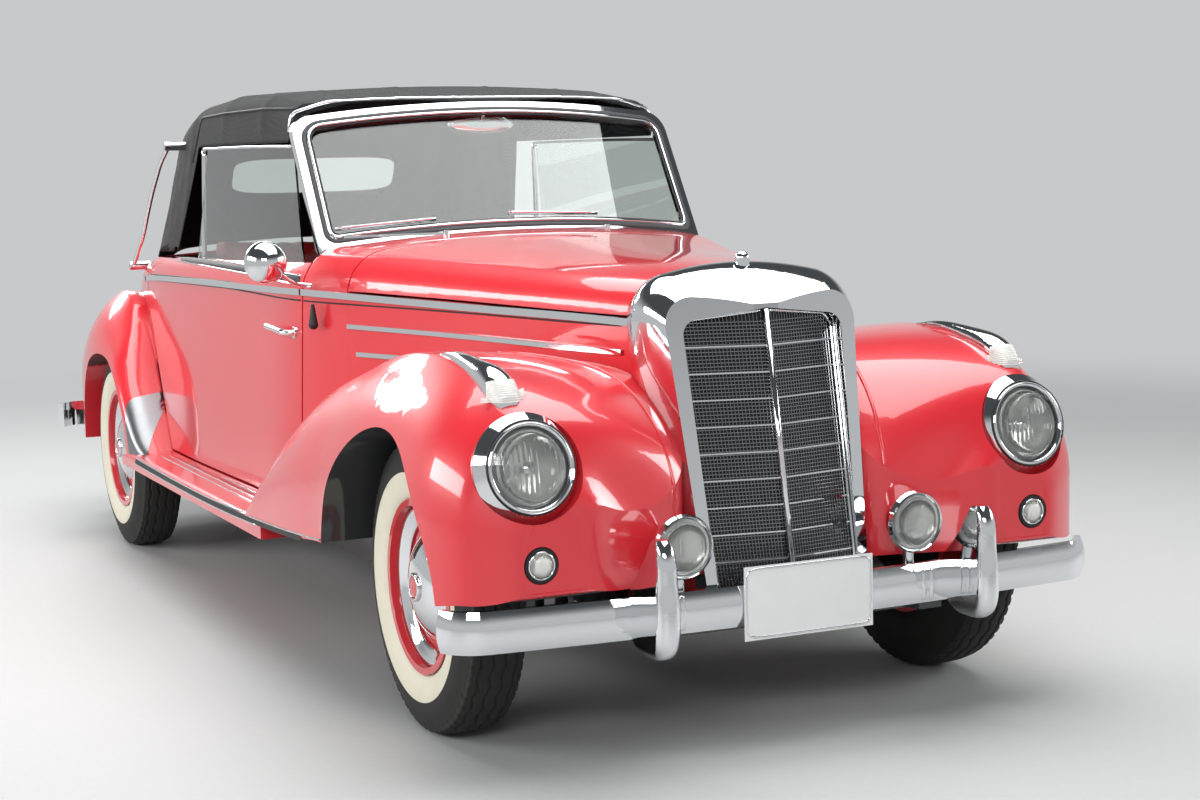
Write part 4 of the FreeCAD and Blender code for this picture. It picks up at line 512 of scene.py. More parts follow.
def tyre_section():
    """Half width and radius along the section, from the inner bead to the outer bead. The
    side wall is its table evened by a mean of five, and the tread falls by a power of the
    place across it."""
    side = np.array(SIDE_WALL)
    steps = np.linspace(0, len(side) - 1, 44)
    side = np.stack([np.interp(steps, np.arange(len(side)), column) for column in side.T], 1)
    side = np.vstack([side[:1]] * 2 + [side] + [side[-1:]] * 2)
    side = np.stack([np.convolve(column, np.ones(5) / 5, "valid") for column in side.T], 1)
    across = np.linspace(-TREAD_HALF, TREAD_HALF, 56)
    fall = 7.5 * np.abs(across / TREAD_HALF) ** 2.6
    tread = np.stack([-across, TREAD_RADIUS - fall], 1)
    return np.vstack([side, tread, side[::-1] * (-1, 1)]) / 1000


def tyre_points(section, centre, outward):
    """Grid of a tyre: section point (x, r) turned about the axle. The radius falls by the
    groove's depth where a zigzag line x0 + h * triangle(33 angle) passes, and by a share of
    it in the notches of the shoulder."""
    angle = np.linspace(0, 2 * np.pi, TYRE_TURNS, endpoint=False)[:, None]
    x, r = section[None, :, 0], section[None, :, 1]
    zig = np.abs((angle * ZIGZAGS / np.pi) % 2 - 1) * 2 * ZIGZAG_HALF - ZIGZAG_HALF
    depth = np.zeros((TYRE_TURNS, len(section)))
    for groove in GROOVES:
        depth += np.clip(1 - np.abs(x - groove - zig) / GROOVE_HALF, 0, 1) ** 0.5
    shoulder = (np.abs(x) > 0.052) & (r > SHOULDER_FROM)
    depth += shoulder * (np.cos(angle * ZIGZAGS * 2) > 0.72) * 0.8
    dented = (r > TREAD_FROM) | shoulder
    r = r - np.where(dented, np.clip(depth, 0, 1), 0) * GROOVE_DEPTH
    return np.stack([centre[0] + outward * x + 0 * angle, centre[1] + r * np.cos(angle),
                     centre[2] + r * np.sin(angle)], -1)


section = tyre_section()
middle = (section + np.roll(section, -1, 0)) / 2
white = (middle[:, 0] > 0.05) & (middle[:, 1] > WHITE_FROM) & (middle[:, 1] < WHITE_TO)
for wheel, hub, sign in WHEELS:
    points = tyre_points(section, hub, sign)
    tyre = surface("tyre_dressed_" + wheel, points, tyre_black, "wheel_" + wheel,
                   close_rows=True, close_columns=True, flip=sign > 0)
    tyre.data.materials.append(tyre_white)
    tyre.data.polygons.foreach_set("material_index",
                                   np.tile(white, len(points)).astype(np.int32))
    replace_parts(tyre, "tyre_" + wheel)
print("tyre triangles", len(tyre.data.polygons) * 2)

# %% [markdown]
# The insides of the wings are not enamelled. They are brushed with a thick dark coat that
# takes the stones, so the tyre stands before black. The model's own faces inside the
# wheel houses get that coat, and the bowls of the headlamps get polished silver.

# %% Dark wheel houses and silvered bowls
HOUSE_RADIUS, FLANK, HOUSE_INNER, FLOOR_TOP, BOWL_RADIUS = 0.3775, 0.807, 0.3, 0.40, 0.093
HEADLAMP, FOG_LAMP, TURN_LAMP, WING_LAMP = (
    (638, -452, 670), (298, -517, 478), (632, -502, 470), (651, -338, 806))


def face_table(node):
    """Centres and normals of a node's faces in the car's frame."""
    mesh, count = nodes[node].data, len(nodes[node].data.polygons)
    centres, normals = np.empty(count * 3), np.empty(count * 3)
    mesh.polygons.foreach_get("center", centres)
    mesh.polygons.foreach_get("normal", normals)
    return in_car(node, centres), in_car(node, normals, place=False)


def coat_faces(node, chosen, material):
    """Gives some faces of a node a second material."""
    mesh = nodes[node].data
    index = np.zeros(len(mesh.polygons), np.int32)
    mesh.polygons.foreach_get("material_index", index)
    mesh.materials.append(material)
    index[chosen] = len(mesh.materials) - 1
    mesh.polygons.foreach_set("material_index", index)
    mesh.update()
    return int(chosen.sum())


coated = 0
for node in ("front_wings", "rear_wings", "body_shell", "bonnet_sides"):
    centres, normals = face_table(node)
    x, y, z = centres.T
    outward = (normals[:, 0] * np.sign(x) > 0.25) & (np.abs(x) > FLANK)
    hidden = (normals[:, 2] < -0.6) & (z < FLOOR_TOP)
    for _, axle in AXLES.values():
        reach = np.hypot(y - axle, z - AXLE_HEIGHT)
        facing_axle = (y - axle) * normals[:, 1] + (z - AXLE_HEIGHT) * normals[:, 2]
        hidden |= (reach < HOUSE_RADIUS) & (np.abs(x) > HOUSE_INNER) & (facing_axle < 0.05 * reach)
    coated += coat_faces(node, hidden & ~outward, under_coat)
centres, normals = face_table("headlamp_bezels")
off_axis = np.hypot(np.abs(centres[:, 0]) - HEADLAMP[0] / 1000, centres[:, 2] - HEADLAMP[2] / 1000)
coat_faces("headlamp_bezels", (off_axis < BOWL_RADIUS) & (normals[:, 1] < 0.2), mirror_silver)
print("coated faces", coated)

# %% [markdown]
# The wheels are pressed steel, painted red. A bright ring is sprung into the rim, and the
# chromed cap carries a small red medallion. Each is a turned form, so one profile makes
# it. Two rays find the rim, so that the ring sits in it.

# %% Trim rings and cap centres
RING_PROFILE = np.array([(0, 186), (3, 187), (5.5, 183), (4, 176), (1, 168), (-2, 160), (-4, 152),
                         (-6, 150), (-6, 156), (-3, 166), (-1, 176)]) / 1000
RIM_EDGE, RIM_DIP, CROWN = 0.186, 0.152, 0.0775
CAP_PARTS = (
    ("cap_boss_", chrome, ((-0.004, 0.034), (0.0015, 0.0335), (0.004, 0.0305), (0.0035, 0.0265),
                           (0.001, 0.026), (-0.004, 0.026))),
    ("cap_medal_", wheel_enamel, ((-0.003, 0.0262), (0.001, 0.026), (0.0022, 0.018),
                                  (0.003, 0.008), (0.0032, 0.0001), (-0.003, 0.0001))))
for wheel, hub, sign in WHEELS:
    tree, body = skin("rim_" + wheel), "wheel_" + wheel
    face, low = (sign * (tree.ray_cast(Vector(hub + (sign * 2, 0, radius)),
                                       Vector((-sign, 0, 0)))[0][0] - hub[0])
                 for radius in (RIM_EDGE, RIM_DIP))
    share = (RING_PROFILE[:, 1] - 0.150) / 0.036
    inward = face + 0.002 + (1 - share) * (low - face + 0.007)
    profile = np.stack([RING_PROFILE[:, 0] + inward, RING_PROFILE[:, 1]], 1)
    turned("trim_ring_" + wheel, profile[::sign], hub, (sign, 0, 0), chrome, body, turns=96)
    for name, material, corners in CAP_PARTS:
        turned(name + wheel, (np.array(corners) + (CROWN, 0))[::sign], hub, (sign, 0, 0),
               material, body, turns=48)
print("ring base", round(face, 4), "dip", round(low - face, 4))

# %% [markdown]
# The grille is the face of the car: two leaning halves that meet in a vee, each a square
# wire mesh behind thin bright cross bars, in a bright frame. The mesh has about 8 mm
# pitch, coarse enough to be real wires, so it is built as a few hundred slim prisms.

# %% Grille
GRILLE_LOW = np.array((0.3575, 0.1825, -448, -472))
GRILLE_TOP = np.array((0.9505, 0.2055, -299.5, -362.5))
GRILLE_TALL, GRILLE_PEAK = GRILLE_TOP[0] - GRILLE_LOW[0], 0.0225
BAR_COUNT, BAR_HALF, SPINE_HALF, WIRE_PITCH, WIRE_HALF = 9, 0.0024, 0.0075, 0.0082, 0.0013
FRAME_SIDE, FRAME_OUT, BAR_OUT, SPINE_OUT, BACK_IN = 0.985, 0.005, 0.004, 0.008, -0.008


def grille_at(across, up, forward=0.0):
    """Point of the grille's face. Across runs -1 to 1 and up runs 0 to 1: height, half
    width, corner and middle station all change in proportion from the foot to the top."""
    across, up = np.broadcast_arrays(np.asarray(across, float), np.asarray(up, float))
    z, half, corner, middle = np.moveaxis(
        GRILLE_LOW + (GRILLE_TOP - GRILLE_LOW) * up[..., None], -1, 0)
    station = middle + (corner - middle) * np.abs(across) + 2.0 - forward * 1000
    return np.stack([across * half, along(station), z], -1)


def rods(name, starts, ends, wide, material, sides=4):
    """Slim prisms between pairs of points: a ring of corners round each end."""
    starts, ends = np.asarray(starts, float), np.asarray(ends, float)
    way = unit(ends - starts)
    aside = unit(np.cross(way, (0.0, 1.0, 0.02)))
    other = np.cross(aside, way)
    angle = (np.arange(sides) + 0.5)[None, :, None] * 2 * np.pi / sides
    ring = np.cos(angle) * aside[:, None] * wide + np.sin(angle) * other[:, None] * wide
    points = np.concatenate([starts[:, None] + ring, ends[:, None] + ring], 1)
    here = np.arange(sides)
    beside = (here + 1) % sides
    base = np.arange(len(starts))[:, None] * sides * 2
    quads = np.stack([here, beside, beside + sides, here + sides], -1)[None] + base[..., None]
    faces = [*quads.reshape(-1, 4).tolist(), *(base + here[::-1]).tolist(),
             *(base + sides + here).tolist()]
    return placed(name, points, faces, material, smooth=sides > 4)


def mouth_top(across):
    """How high the mouth reaches, as a share: a low peak over the vee."""
    corner = np.clip((np.abs(across) - 0.86) / 0.14, 0, 1)
    return 1 + (1 - np.abs(across)) * GRILLE_PEAK / GRILLE_TALL - corner**2 * 0.045


wires_from, wires_to, edges = [], [], []
for side in (-1, 1):
    across = side * np.linspace(0.05, FRAME_SIDE, int(0.2 / WIRE_PITCH))
    up = np.arange(0.008, 1.0, WIRE_PITCH / GRILLE_TALL)
    wires_from += [grille_at(across, 0.0), grille_at(side * 0.02, up)]
    wires_to += [grille_at(across, mouth_top(across) - 0.002), grille_at(side * 0.992, up)]
mesh_wires = rods("grille_mesh", np.vstack(wires_from), np.vstack(wires_to), WIRE_HALF,
                  mesh_metal)
columns = np.linspace(-1, 1, 41)
# The grille's back is a near-black sheet 8 mm behind the wires, painted shade for the mouth.
back = surface("grille_back", np.stack([grille_at(columns, share * mouth_top(columns), BACK_IN)
                                        for share in np.linspace(0, 1, 12)]), grille_shade_sheet)
bar_share = np.arange(1, BAR_COUNT + 1) / (BAR_COUNT + 1)
bar_from, bar_to = (np.vstack([grille_at(side * reach, bar_share, BAR_OUT) for side in (-1, 1)])
                    for reach in (0.03, FRAME_SIDE))
bars = rods("grille_bars", bar_from, bar_to, BAR_HALF, chrome)
spine = rods("grille_spine", grille_at(0, 0.0, SPINE_OUT)[None],
             grille_at(0, 1.036, SPINE_OUT)[None], SPINE_HALF, chrome, sides=8)
for side in (-1, 1):
    up, top = np.linspace(0, 1, 40), np.linspace(FRAME_SIDE, 0.06, 24) * side
    frame_line = np.vstack([grille_at(side * FRAME_SIDE, up * mouth_top(FRAME_SIDE), FRAME_OUT),
                            grille_at(top, mouth_top(top) - 0.004, FRAME_OUT)])
    foot_line = grille_at(np.linspace(0.05, FRAME_SIDE, 24) * side, 0.006, FRAME_OUT)
    for number, line in enumerate((frame_line, foot_line)):
        edges.append(strip("grille_edge_%d_%d" % (side, number), line,
                           np.tile((0, -1.0, 0.05), (len(line), 1)),
                           half_round(0.007, 0.004, root=0.004), chrome))
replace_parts(together("grille_dressed", [mesh_wires, back, bars, spine] + edges), "grille")
print("grille wires", sum(len(item) for item in wires_from))

# %% [markdown]
# The windscreen is one bent pane. From the outside in, a wide bright pillar carries a
# grey rubber seal, and a narrow bright strip is pressed into the seal round the glass.
# All three follow one rounded outline, so each is a profile carried along it. Two wiper
# blades lie just off the pane.

# %% Windscreen seal, strips and wiper blades
SCREEN_FOOT = np.array(((1060, 1062), (985, 1098)), float)
SCREEN_HEAD = np.array(((1312, 1450), (1252, 1492)), float)
SCREEN_HALF, SCREEN_TALL, WIPER_X, BLADE_SIDE = 591.0, 470.0, 249, (0.0, -0.84, 0.54)


def screen_point(across, share):
    """Point of the bent screen. Across runs -1 to 1, share 0 at the foot to 1 at the head;
    a row of the screen bows forward by 1 - across^2 of its depth."""
    across, share = np.broadcast_arrays(np.asarray(across, float), np.asarray(share, float))
    row = SCREEN_FOOT + (SCREEN_HEAD - SCREEN_FOOT) * share[..., None, None]
    place = row[..., 0, :] + (row[..., 1, :] - row[..., 0, :]) * (1 - across**2)[..., None]
    return car_point(across * SCREEN_HALF, place[..., 0], place[..., 1])


def screen_outline(inset, low, high, corner_low, corner_high, lift):
    """A rounded outline on the screen: its sides at the inset, with round corners, and
    the screen's normal from the steps across and up it."""
    half, foot, head = SCREEN_HALF - inset, low * SCREEN_TALL, high * SCREEN_TALL
    chain = []
    for x, z, radius, turn in ((half, foot, corner_low, -90), (half, head, corner_high, 0),
                               (-half, head, corner_high, 90), (-half, foot, corner_low, 180)):
        angle = np.radians(np.linspace(turn, turn + 90, 12))
        middle = (x - np.sign(x) * radius, z + (radius if z == foot else -radius))
        chain.append(np.stack([middle[0] + radius * np.cos(angle),
                               middle[1] + radius * np.sin(angle)], 1))
    flat = paced(np.vstack(chain + [chain[0][:1]]), 240, closed=True)
    across, share = flat[:, 0] / SCREEN_HALF, flat[:, 1] / SCREEN_TALL
    sideways = screen_point(across + 0.01, share) - screen_point(across - 0.01, share)
    upward = screen_point(across, share + 0.01) - screen_point(across, share - 0.01)
    normals = unit(np.cross(sideways, upward))
    return screen_point(across, share) + normals * lift, normals


for name, material, outline, wide, tall in (
        ("screen_seal", seal_grey, (27, 0.100, 0.945, 30, 52, 0.0), 0.015, 0.0035),
        ("screen_strip", chrome, (38, 0.128, 0.922, 22, 44, 0.0035), 0.009, 0.003),
        ("screen_edge", seal_black, (45, 0.144, 0.906, 18, 38, -0.001), 0.006, 0.0025)):
    strip(name, *screen_outline(*outline), half_round(wide, tall), material, closed=True)
for side, sign in SIDES:
    root = screen_point((sign * WIPER_X - 12) / SCREEN_HALF, 0.165)
    tip = screen_point((sign * WIPER_X - 292) / SCREEN_HALF, 0.175)
    onto = np.tile(BLADE_SIDE, (9, 1))
    strip("wiper_blade_" + side, root + (tip - root) * np.linspace(0, 1, 9)[:, None] + onto * 0.009,
          onto, half_round(0.007, 0.008, root=0.004), chrome)
print("windscreen trimmed")

# %% [markdown]
# The headlamps lean back with the wings. The wide bezel is pressed and plated, and a narrow
# black ring parts it from the bright ring that holds the glass: painted shade that stands
# for the gap between them. The glass is pressed with upright flutes that spread the beam.
# The bulb stands before a silvered bowl. The fog lamps and direction lamps are built the
# same way, smaller and upright.

# %% Lamp glasses, rings and bulbs
LEAN, AHEAD = math.radians(12), (0, -1, 0)
LAMP_AXIS = np.array((0.0, -math.cos(LEAN), math.sin(LEAN)))
LAMP_DOMES = (
    ("headlamp_glass_", HEADLAMP, LAMP_AXIS, (0.0885, 0.016, 0.0185, 15), fluted_glass),
    ("fog_glass_", FOG_LAMP, AHEAD, (0.0595, 0.009, 0.004, 13), fluted_glass))
LAMP_TURNS = (
    # A black ring as painted shade of the gap between the bezel and the bright ring.
    ("headlamp_gap_", HEADLAMP, LAMP_AXIS, seal_black, 64, True, (
        (0.0305, 0.0965), (0.0335, 0.0985), (0.0335, 0.1015), (0.0300, 0.1030),
        (0.0270, 0.1010), (0.0280, 0.0970))),
    ("headlamp_ring_", HEADLAMP, LAMP_AXIS, chrome, 64, True, (
        (0.0200, 0.0875), (0.0300, 0.0880), (0.0340, 0.0905), (0.0355, 0.0935),
        (0.0340, 0.0962), (0.0300, 0.0970), (0.0200, 0.0960))),
    ("headlamp_bulb_", HEADLAMP, LAMP_AXIS, chrome, 24, False, (
        (-0.030, 0.0001), (-0.030, 0.010), (-0.006, 0.011), (-0.002, 0.014), (0.004, 0.014),
        (0.009, 0.009), (0.011, 0.0001))),
    ("fog_bowl_", FOG_LAMP, AHEAD, mirror_silver, 64, False, (
        (0.0012, 0.0600), (0.0006, 0.0400), (0.0003, 0.0001))),
    ("turn_rim_", TURN_LAMP, AHEAD, chrome, 48, True, (
        (0.0080, 0.0262), (0.0105, 0.0270), (0.0112, 0.0290), (0.0098, 0.0308),
        (0.0080, 0.0312))))


def fluted_dome(name, centre, axis, size, material, depth=0.0009, rings=26, turns=72):
    """A glass dome of a radius R, rise, back and number of flutes: height = back + rise *
    (1 - (r/R)^2), with a wave for the flutes across it, and a flat back."""
    radius, rise, back, flutes = size
    share = np.linspace(0.0008, 1, rings)[None, :]
    angle = np.linspace(0, 2 * np.pi, turns, endpoint=False)[:, None]
    across, upward = share * radius * np.cos(angle), share * radius * np.sin(angle)
    wave = np.cos(across / radius * np.pi * flutes) * depth * np.clip((1 - share) * 9, 0, 1)
    high = back + rise * (1 - share**2) + wave
    foot = np.broadcast_to(np.array([1.0, 0.5, 0.0008]), (turns, 3))
    across = np.concatenate([across, foot * radius * np.cos(angle)], 1)
    upward = np.concatenate([upward, foot * radius * np.sin(angle)], 1)
    high = np.concatenate([high, foot * 0 + back - 0.003], 1)
    side, axis = np.array((1.0, 0, 0)), np.asarray(axis, float)
    top = np.cross(side, axis)
    top *= np.sign(top[2])
    points = (np.asarray(centre) + across[..., None] * side + upward[..., None] * top
              + high[..., None] * axis)
    return surface(name, points, material, close_rows=True)


for side, sign in SIDES:
    for name, (x, station, z), axis, size, material in LAMP_DOMES:
        fluted_dome(name + side, car_point(sign * x, station, z), axis, size, material)
    for name, (x, station, z), axis, material, turns, closed, profile in LAMP_TURNS:
        turned(name + side, profile, car_point(sign * x, station, z), axis, material,
               turns=turns, closed=closed)
    fluted_dome("turn_glass_" + side, car_point(sign * TURN_LAMP[0], *TURN_LAMP[1:]), AHEAD,
                (0.0262, 0.010, 0.0075, 7), milk_glass, depth=0.0004, rings=14, turns=40)
print("lamps dressed")

# %% [markdown]
# A small side lamp sits on the crown of each front wing. Its body is one plated drop that
# runs back to a point, and its front is a white glass with fine level ribs.

# %% Wing top lamp glasses
GLASS_RISE, RIB_HIGH, RIB_COUNT = 0.0022, 0.0009, 11
drop_skin = skin("wing_lamps")
for side, sign in SIDES:
    heart = car_point(sign * WING_LAMP[0], *WING_LAMP[1:])
    rise = np.radians(np.linspace(2, 50, 49))[:, None]
    turn = np.radians(np.linspace(-58, 58, 31))[None, :]
    way = np.stack([np.sin(turn) * np.cos(rise), -np.cos(turn) * np.cos(rise),
                    np.sin(rise) + 0 * turn], -1)
    found = [drop_skin.ray_cast(Vector(heart + one * 0.2), Vector(-one))[0]
             for one in way.reshape(-1, 3)]
    reach = np.array([0.06 if spot is None else min(np.linalg.norm(np.array(spot) - heart), 0.11)
                      for spot in found]).reshape(way.shape[:2])
    rib = RIB_HIGH * np.cos(np.linspace(0, 1, 49) * 2 * np.pi * RIB_COUNT)[:, None]
    surface("wing_lamp_glass_" + side, heart + way * (reach + GLASS_RISE + rib)[..., None],
            milk_glass)
print("wing lamps dressed")

# %% [markdown]
# Beads and strips draw the car's lines. A painted bead covers each seam where a wing is
# bolted to the body. Bright strips in pairs run along the running board with a black strip
# between them, painted shade for the groove there, and three thin ribs lie on its tread.

# %% Beads and running board strips
FRONT_BEAD = ((470, 90, 845), (450, 11, 826), (395, -80, 817), (330, -174, 804), (305, -260, 760),
              (290, -345, 693), (278, -400, 630), (270, -447, 570))
BOARD_LINE = ((293, 408), (400, 396), (539, 387), (760, 375), (1000, 365), (1270, 358), (1537, 354),
              (1880, 354), (2212, 356), (2375, 358))


def edged(dark, bright, gap, wide, high):
    """Rows of name, rise, profile and finish for a dark strip between bright edges."""
    return ((dark, 0, half_round(wide, high), seal_black), (bright + "upper_", gap, BRIGHT, chrome),
            (bright + "lower_", -gap, BRIGHT, chrome))


board_skin = skin("running_boards", "front_wings", "rear_wings", "body_shell")
front_skin = skin("front_wings", "bonnet_sides", "body_shell", "radiator_shell")
tread_skin = skin("running_boards")
for side, sign in SIDES:
    bead = flowing([(x * sign, s, z) for x, s, z in FRONT_BEAD], 60)
    starts = car_point(bead[:, 0], bead[:, 1], bead[:, 2] + 90)
    trim("front_bead_" + side, front_skin, starts, (0, 0, -1), BEAD, body_enamel)
    line = flowing(BOARD_LINE, 150)
    outer = car_point(sign * BESIDE, line[:, 0], line[:, 1])
    # The black strip between the bright pair is painted shade that stands for the groove.
    for name, rise, profile, material in edged("board_groove_", "board_", 0.0085, 0.016, 0.0015):
        trim(name + side, board_skin, outer + (0, 0, rise), (-sign, 0, 0), profile, material)
    for order, x in enumerate((708, 735, 762)):
        starts = car_point(x * sign, np.linspace(1075, 2330, 60), 520)
        trim("board_rib_%s_%d" % (side, order + 1), tread_skin, starts, (0, 0, -1),
             half_round(0.006, 0.003), chrome)
print("beads and board strips laid")

# %% [markdown]
# The foot of each rear wing meets the stones thrown up by the front wheel, so a thin
# guard of satin metal is folded round its edge.

# %% Stone guards
GUARD_FOOT, GUARD_TOP, GUARD_HALF, GUARD_LIFT = 336, 556, 46, 0.0016
wing_skin = skin("rear_wings")
for side, sign in SIDES:
    level, share = np.linspace(0, 1, 30)[:, None], np.linspace(-1, 1, 17)[None, :]
    half = GUARD_HALF * (1 - np.clip((level - 0.86) / 0.14, 0, 1) ** 2 * 0.35)
    way = np.array((-sign * 0.78, 0.62, 0))
    grid = car_point(sign * (800 - 2 * level + share * half * 0.62),
                     2449 + 66 * level + share * half * 0.78,
                     GUARD_FOOT + (GUARD_TOP - GUARD_FOOT - 8 * share) * level) - way * 0.5
    spots, normals = laid(wing_skin, grid.reshape(-1, 3), way, smooth=0)
    surface("stone_guard_" + side, (spots + normals * GUARD_LIFT).reshape(grid.shape),
            satin_metal, flip=sign < 0)
print("stone guards folded")

# %% [markdown]
# Along the foot of each side window runs a dark strip between two bright edges. It starts
# at the windscreen pillar and comes to a point behind the door's rear edge.

# %% Window sill strips
SILL_FROM, SILL_TO = 1096, 2676
for side, sign in SIDES:
    station = np.linspace(SILL_FROM, SILL_TO, 120)
    height = np.interp(station, (SILL_FROM, 1500, 2100, SILL_TO), (1004, 1014, 1021, 1019))
    door_skin, point = skin("door_" + side), np.clip((SILL_TO - station) / 420, 0.10, 1)
    for name, rise, profile, material in edged("sill_dark_", "sill_", 0.0115, 0.020, 0.002):
        starts = car_point(sign * BESIDE, station, height)
        starts[:, 2] += rise * point
        trim(name + side, door_skin, starts, (-sign, 0, 0), profile, material, "door_" + side,
             narrow=point if rise == 0 else 1.0)
print("window sill strips laid")

# %% [markdown]
# The bright belt moulding sits on a thin black rubber lip that shows as a line above and
# below it. The lip is cut where the door opens, so each length rides on its own panel.

# %% Belt moulding lips
BELT_LINE = np.array(((-160, 944), (860, 956), (1731, 963), (2400, 953), (2780, 945)))
for side, sign in SIDES:
    for name, names, first, last, body in (
            ("front", ("bonnet_sides", "body_shell"), -150, 1062, "car"),
            ("door", ("door_" + side,), 1082, 2770, "door_" + side)):
        lip_skin, station = skin(*names), np.linspace(first, last, 110)
        height = np.interp(station, *BELT_LINE.T)
        for place, rise in (("upper", 9.5), ("lower", -9.5)):
            trim("belt_lip_%s_%s_%s" % (name, place, side), lip_skin,
                 car_point(sign * BESIDE, station, height + rise), (-sign, 0, 0),
                 half_round(0.0045, 0.0022), seal_black, body)
print("belt lips laid")

# %% [markdown]
# Small bright pieces finish the front bumper: two clamp bands on the blade inboard of
# each overrider, and a raised rim round the blank plate, as such plates are pressed. The
# rim is a superellipse, a rectangle with well rounded corners.

# %% Bumper clamps and plate rims
PLATE_HALF, PLATE_HALF_HIGH, PLATE_MIDDLE, REAR_PLATE_FOOT = 0.159, 0.0765, 0.0825, 0.450
bumper_skin = skin("front_bumper")
for side, sign in SIDES:
    for order, x in enumerate((312, 334)):
        trim("clamp_%s_%d" % (side, order + 1), bumper_skin,
             car_point(sign * x, -900, np.linspace(298, 374, 20)), (0, 1, 0),
             half_round(0.013, 0.003), chrome)
plate_low, plate_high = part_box("number_plates")
angle = np.linspace(0, 2 * np.pi, 96, endpoint=False)
reach = (np.abs(np.cos(angle)) ** 14 + np.abs(np.sin(angle)) ** 14) ** (-1 / 14)
for name, y, way, foot in (("front", plate_low[1], -1, plate_low[2]),
                           ("rear", plate_high[1], 1, REAR_PLATE_FOOT)):
    rim = np.stack([reach * np.cos(angle) * PLATE_HALF, angle * 0 + y,
                    foot + PLATE_MIDDLE + reach * np.sin(angle) * PLATE_HALF_HIGH], 1)
    strip("plate_rim_" + name, rim, np.tile((0, float(way), 0), (96, 1)),
          half_round(0.006, 0.002), chrome, closed=True)
print("bumper dressed")

# %% [markdown]
# The soft top is one canvas stretched over hoops, from the windscreen rail to the rear
# deck. On a real car it is cut flat, sewn along its seams and pulled tight, so it bows
# out a little over each hoop, sags between them and puckers beside the rear window. Here
# one grid of points is dropped on the true form and then moved by those few millimetres.

# %% Soft top as one stretched sheet
HOOD_RIDGE = ((1275, 1502), (1310, 1506), (1450, 1529), (1600, 1546), (1780, 1557), (1980, 1560),
              (2180, 1558), (2380, 1549), (2560, 1532), (2710, 1498), (2830, 1446), (2920, 1360),
              (2990, 1248), (3040, 1126), (3062, 1050))
HOOD_FOOT = np.array(((1270, 1374), (1300, 1384.5), (2405, 1384.5), (2560, 1050), (2580, 1010),
                      (2640, 997), (3070, 997)))
HOOP_AXIS, AXIS_UNDER, HOOD_FRONT, EDGE_BEND = 1150, 250, 1276, 66
hood_skin, ridge = skin("soft_top"), flowing(HOOD_RIDGE, 190, cuts=2)


def hood_hit(station, angle):
    """The hood's outer skin at a station, along a ray at an angle from upright towards
    the axis of the hoop, or None where that ray meets no outer skin. The axis keeps its
    height, but never comes nearer to the ridge than its depth under it."""
    ridge_high = float(np.interp(station, *ridge.T))
    middle = car_point(0, station, min(HOOP_AXIS, ridge_high - AXIS_UNDER))
    way = np.array((math.sin(angle), 0, math.cos(angle)))
    spot = hood_skin.ray_cast(Vector(middle + way * 1.5), Vector(-way))[0]
    return None if spot is None or (np.array(spot) - middle) @ way < 0.2 else np.array(spot)


def widest(station):
    """The largest angle at which the hood is still above its foot line, by halving."""
    foot = float(np.interp(station, *HOOD_FOOT.T)) / 1000
    low, high = 0.6, 2.2
    for _ in range(13):
        angle = (low + high) / 2
        spot = hood_hit(station, angle)
        low, high = (angle, high) if spot is not None and spot[2] > foot else (low, angle)
    return low


reach = even(np.array([[widest(station)] for station in ridge[:, 0]]), 1)[:, 0]
columns, rows, missed = np.linspace(-1, 1, 141), len(ridge), (math.nan,) * 3
hits = []
for row, first in enumerate(ridge[:, 0]):
    # The front edge lies further back at its sides, as the rail is bent.
    bent = ((HOOD_FRONT + EDGE_BEND * columns**2 - ridge[0, 0])
            * max(0, 1 - row / (rows - 1) * 12))
    spots = [hood_hit(station, across * float(np.interp(station, ridge[:, 0], reach)))
             for across, station in zip(columns, first + bent)]
    hits.append([missed if spot is None else spot for spot in spots])
hood_grid, order = np.array(hits), np.arange(len(columns))
gaps = np.isnan(hood_grid[..., 0])
for row, k in np.ndindex(rows, 3):
    good = ~gaps[row]
    hood_grid[row, :, k] = np.interp(order, order[good], hood_grid[row, good, k])
print("hood grid", hood_grid.shape, "rays that missed", int(gaps.sum()))

# %% [markdown]
# The folds are worked out on the whole grid at once: a soft ridge over each hoop, a sag
# between hoops, two raised seams along the roof and fine puckers that run out from the
# rear quarters. The rear window's hole is cut by its rounded outline. Heights of folds
# are in millimetres.

# %% Folds, seams and the rear window's hole
HOOPS, DECK = (1640, 2080, 2520), 2850
BULGE, SAG, FRONT_SAG, PUCKER, RIPPLE, SEAM_HIGH = 2.6, 3.2, 2.4, 1.3, 0.5, 1.8
HOOD_THICK = 0.003
PANE_HALF, PANE_LOW, PANE_HIGH, PANE_CORNER = 0.310, 1.215, 1.345, 0.052
PANE_MIDDLE, PANE_HALF_HIGH = (PANE_LOW + PANE_HIGH) / 2, (PANE_HIGH - PANE_LOW) / 2


def bell(values, middle, wide):
    """exp(-((value - middle) / wide)^2)."""
    return np.exp(-((values - middle) / wide) ** 2)


def grid_normals(grid):
    """Normals of a grid from its steps along rows and columns, pointing up and out."""
    along_rows, along_columns = np.gradient(grid, axis=0), np.gradient(grid, axis=1)
    normals = np.cross(along_columns, along_rows)
    normals /= np.linalg.norm(normals, axis=2, keepdims=True) + 1e-12
    outward = normals[..., 2] + normals[..., 0] * np.sign(grid[..., 0]) * 0.5
    return normals * np.where(outward.mean() < 0, -1, 1)


def pane_distance(grid):
    """Distance to the pane's rounded outline seen from behind, below 0 inside it, and the
    way out of it."""
    flat = np.stack([grid[..., 0], grid[..., 2] - PANE_MIDDLE], -1)
    over = np.abs(flat) - (PANE_HALF - PANE_CORNER, PANE_HALF_HIGH - PANE_CORNER)
    outer = np.linalg.norm(np.maximum(over, 0), axis=-1)
    inner = np.minimum(over.max(-1), 0)
    way = np.where(outer[..., None] > 0, np.maximum(over, 0) / (outer[..., None] + 1e-9),
                   (over == over.max(-1, keepdims=True)).astype(float))
    return outer + inner - PANE_CORNER, way * np.sign(flat)


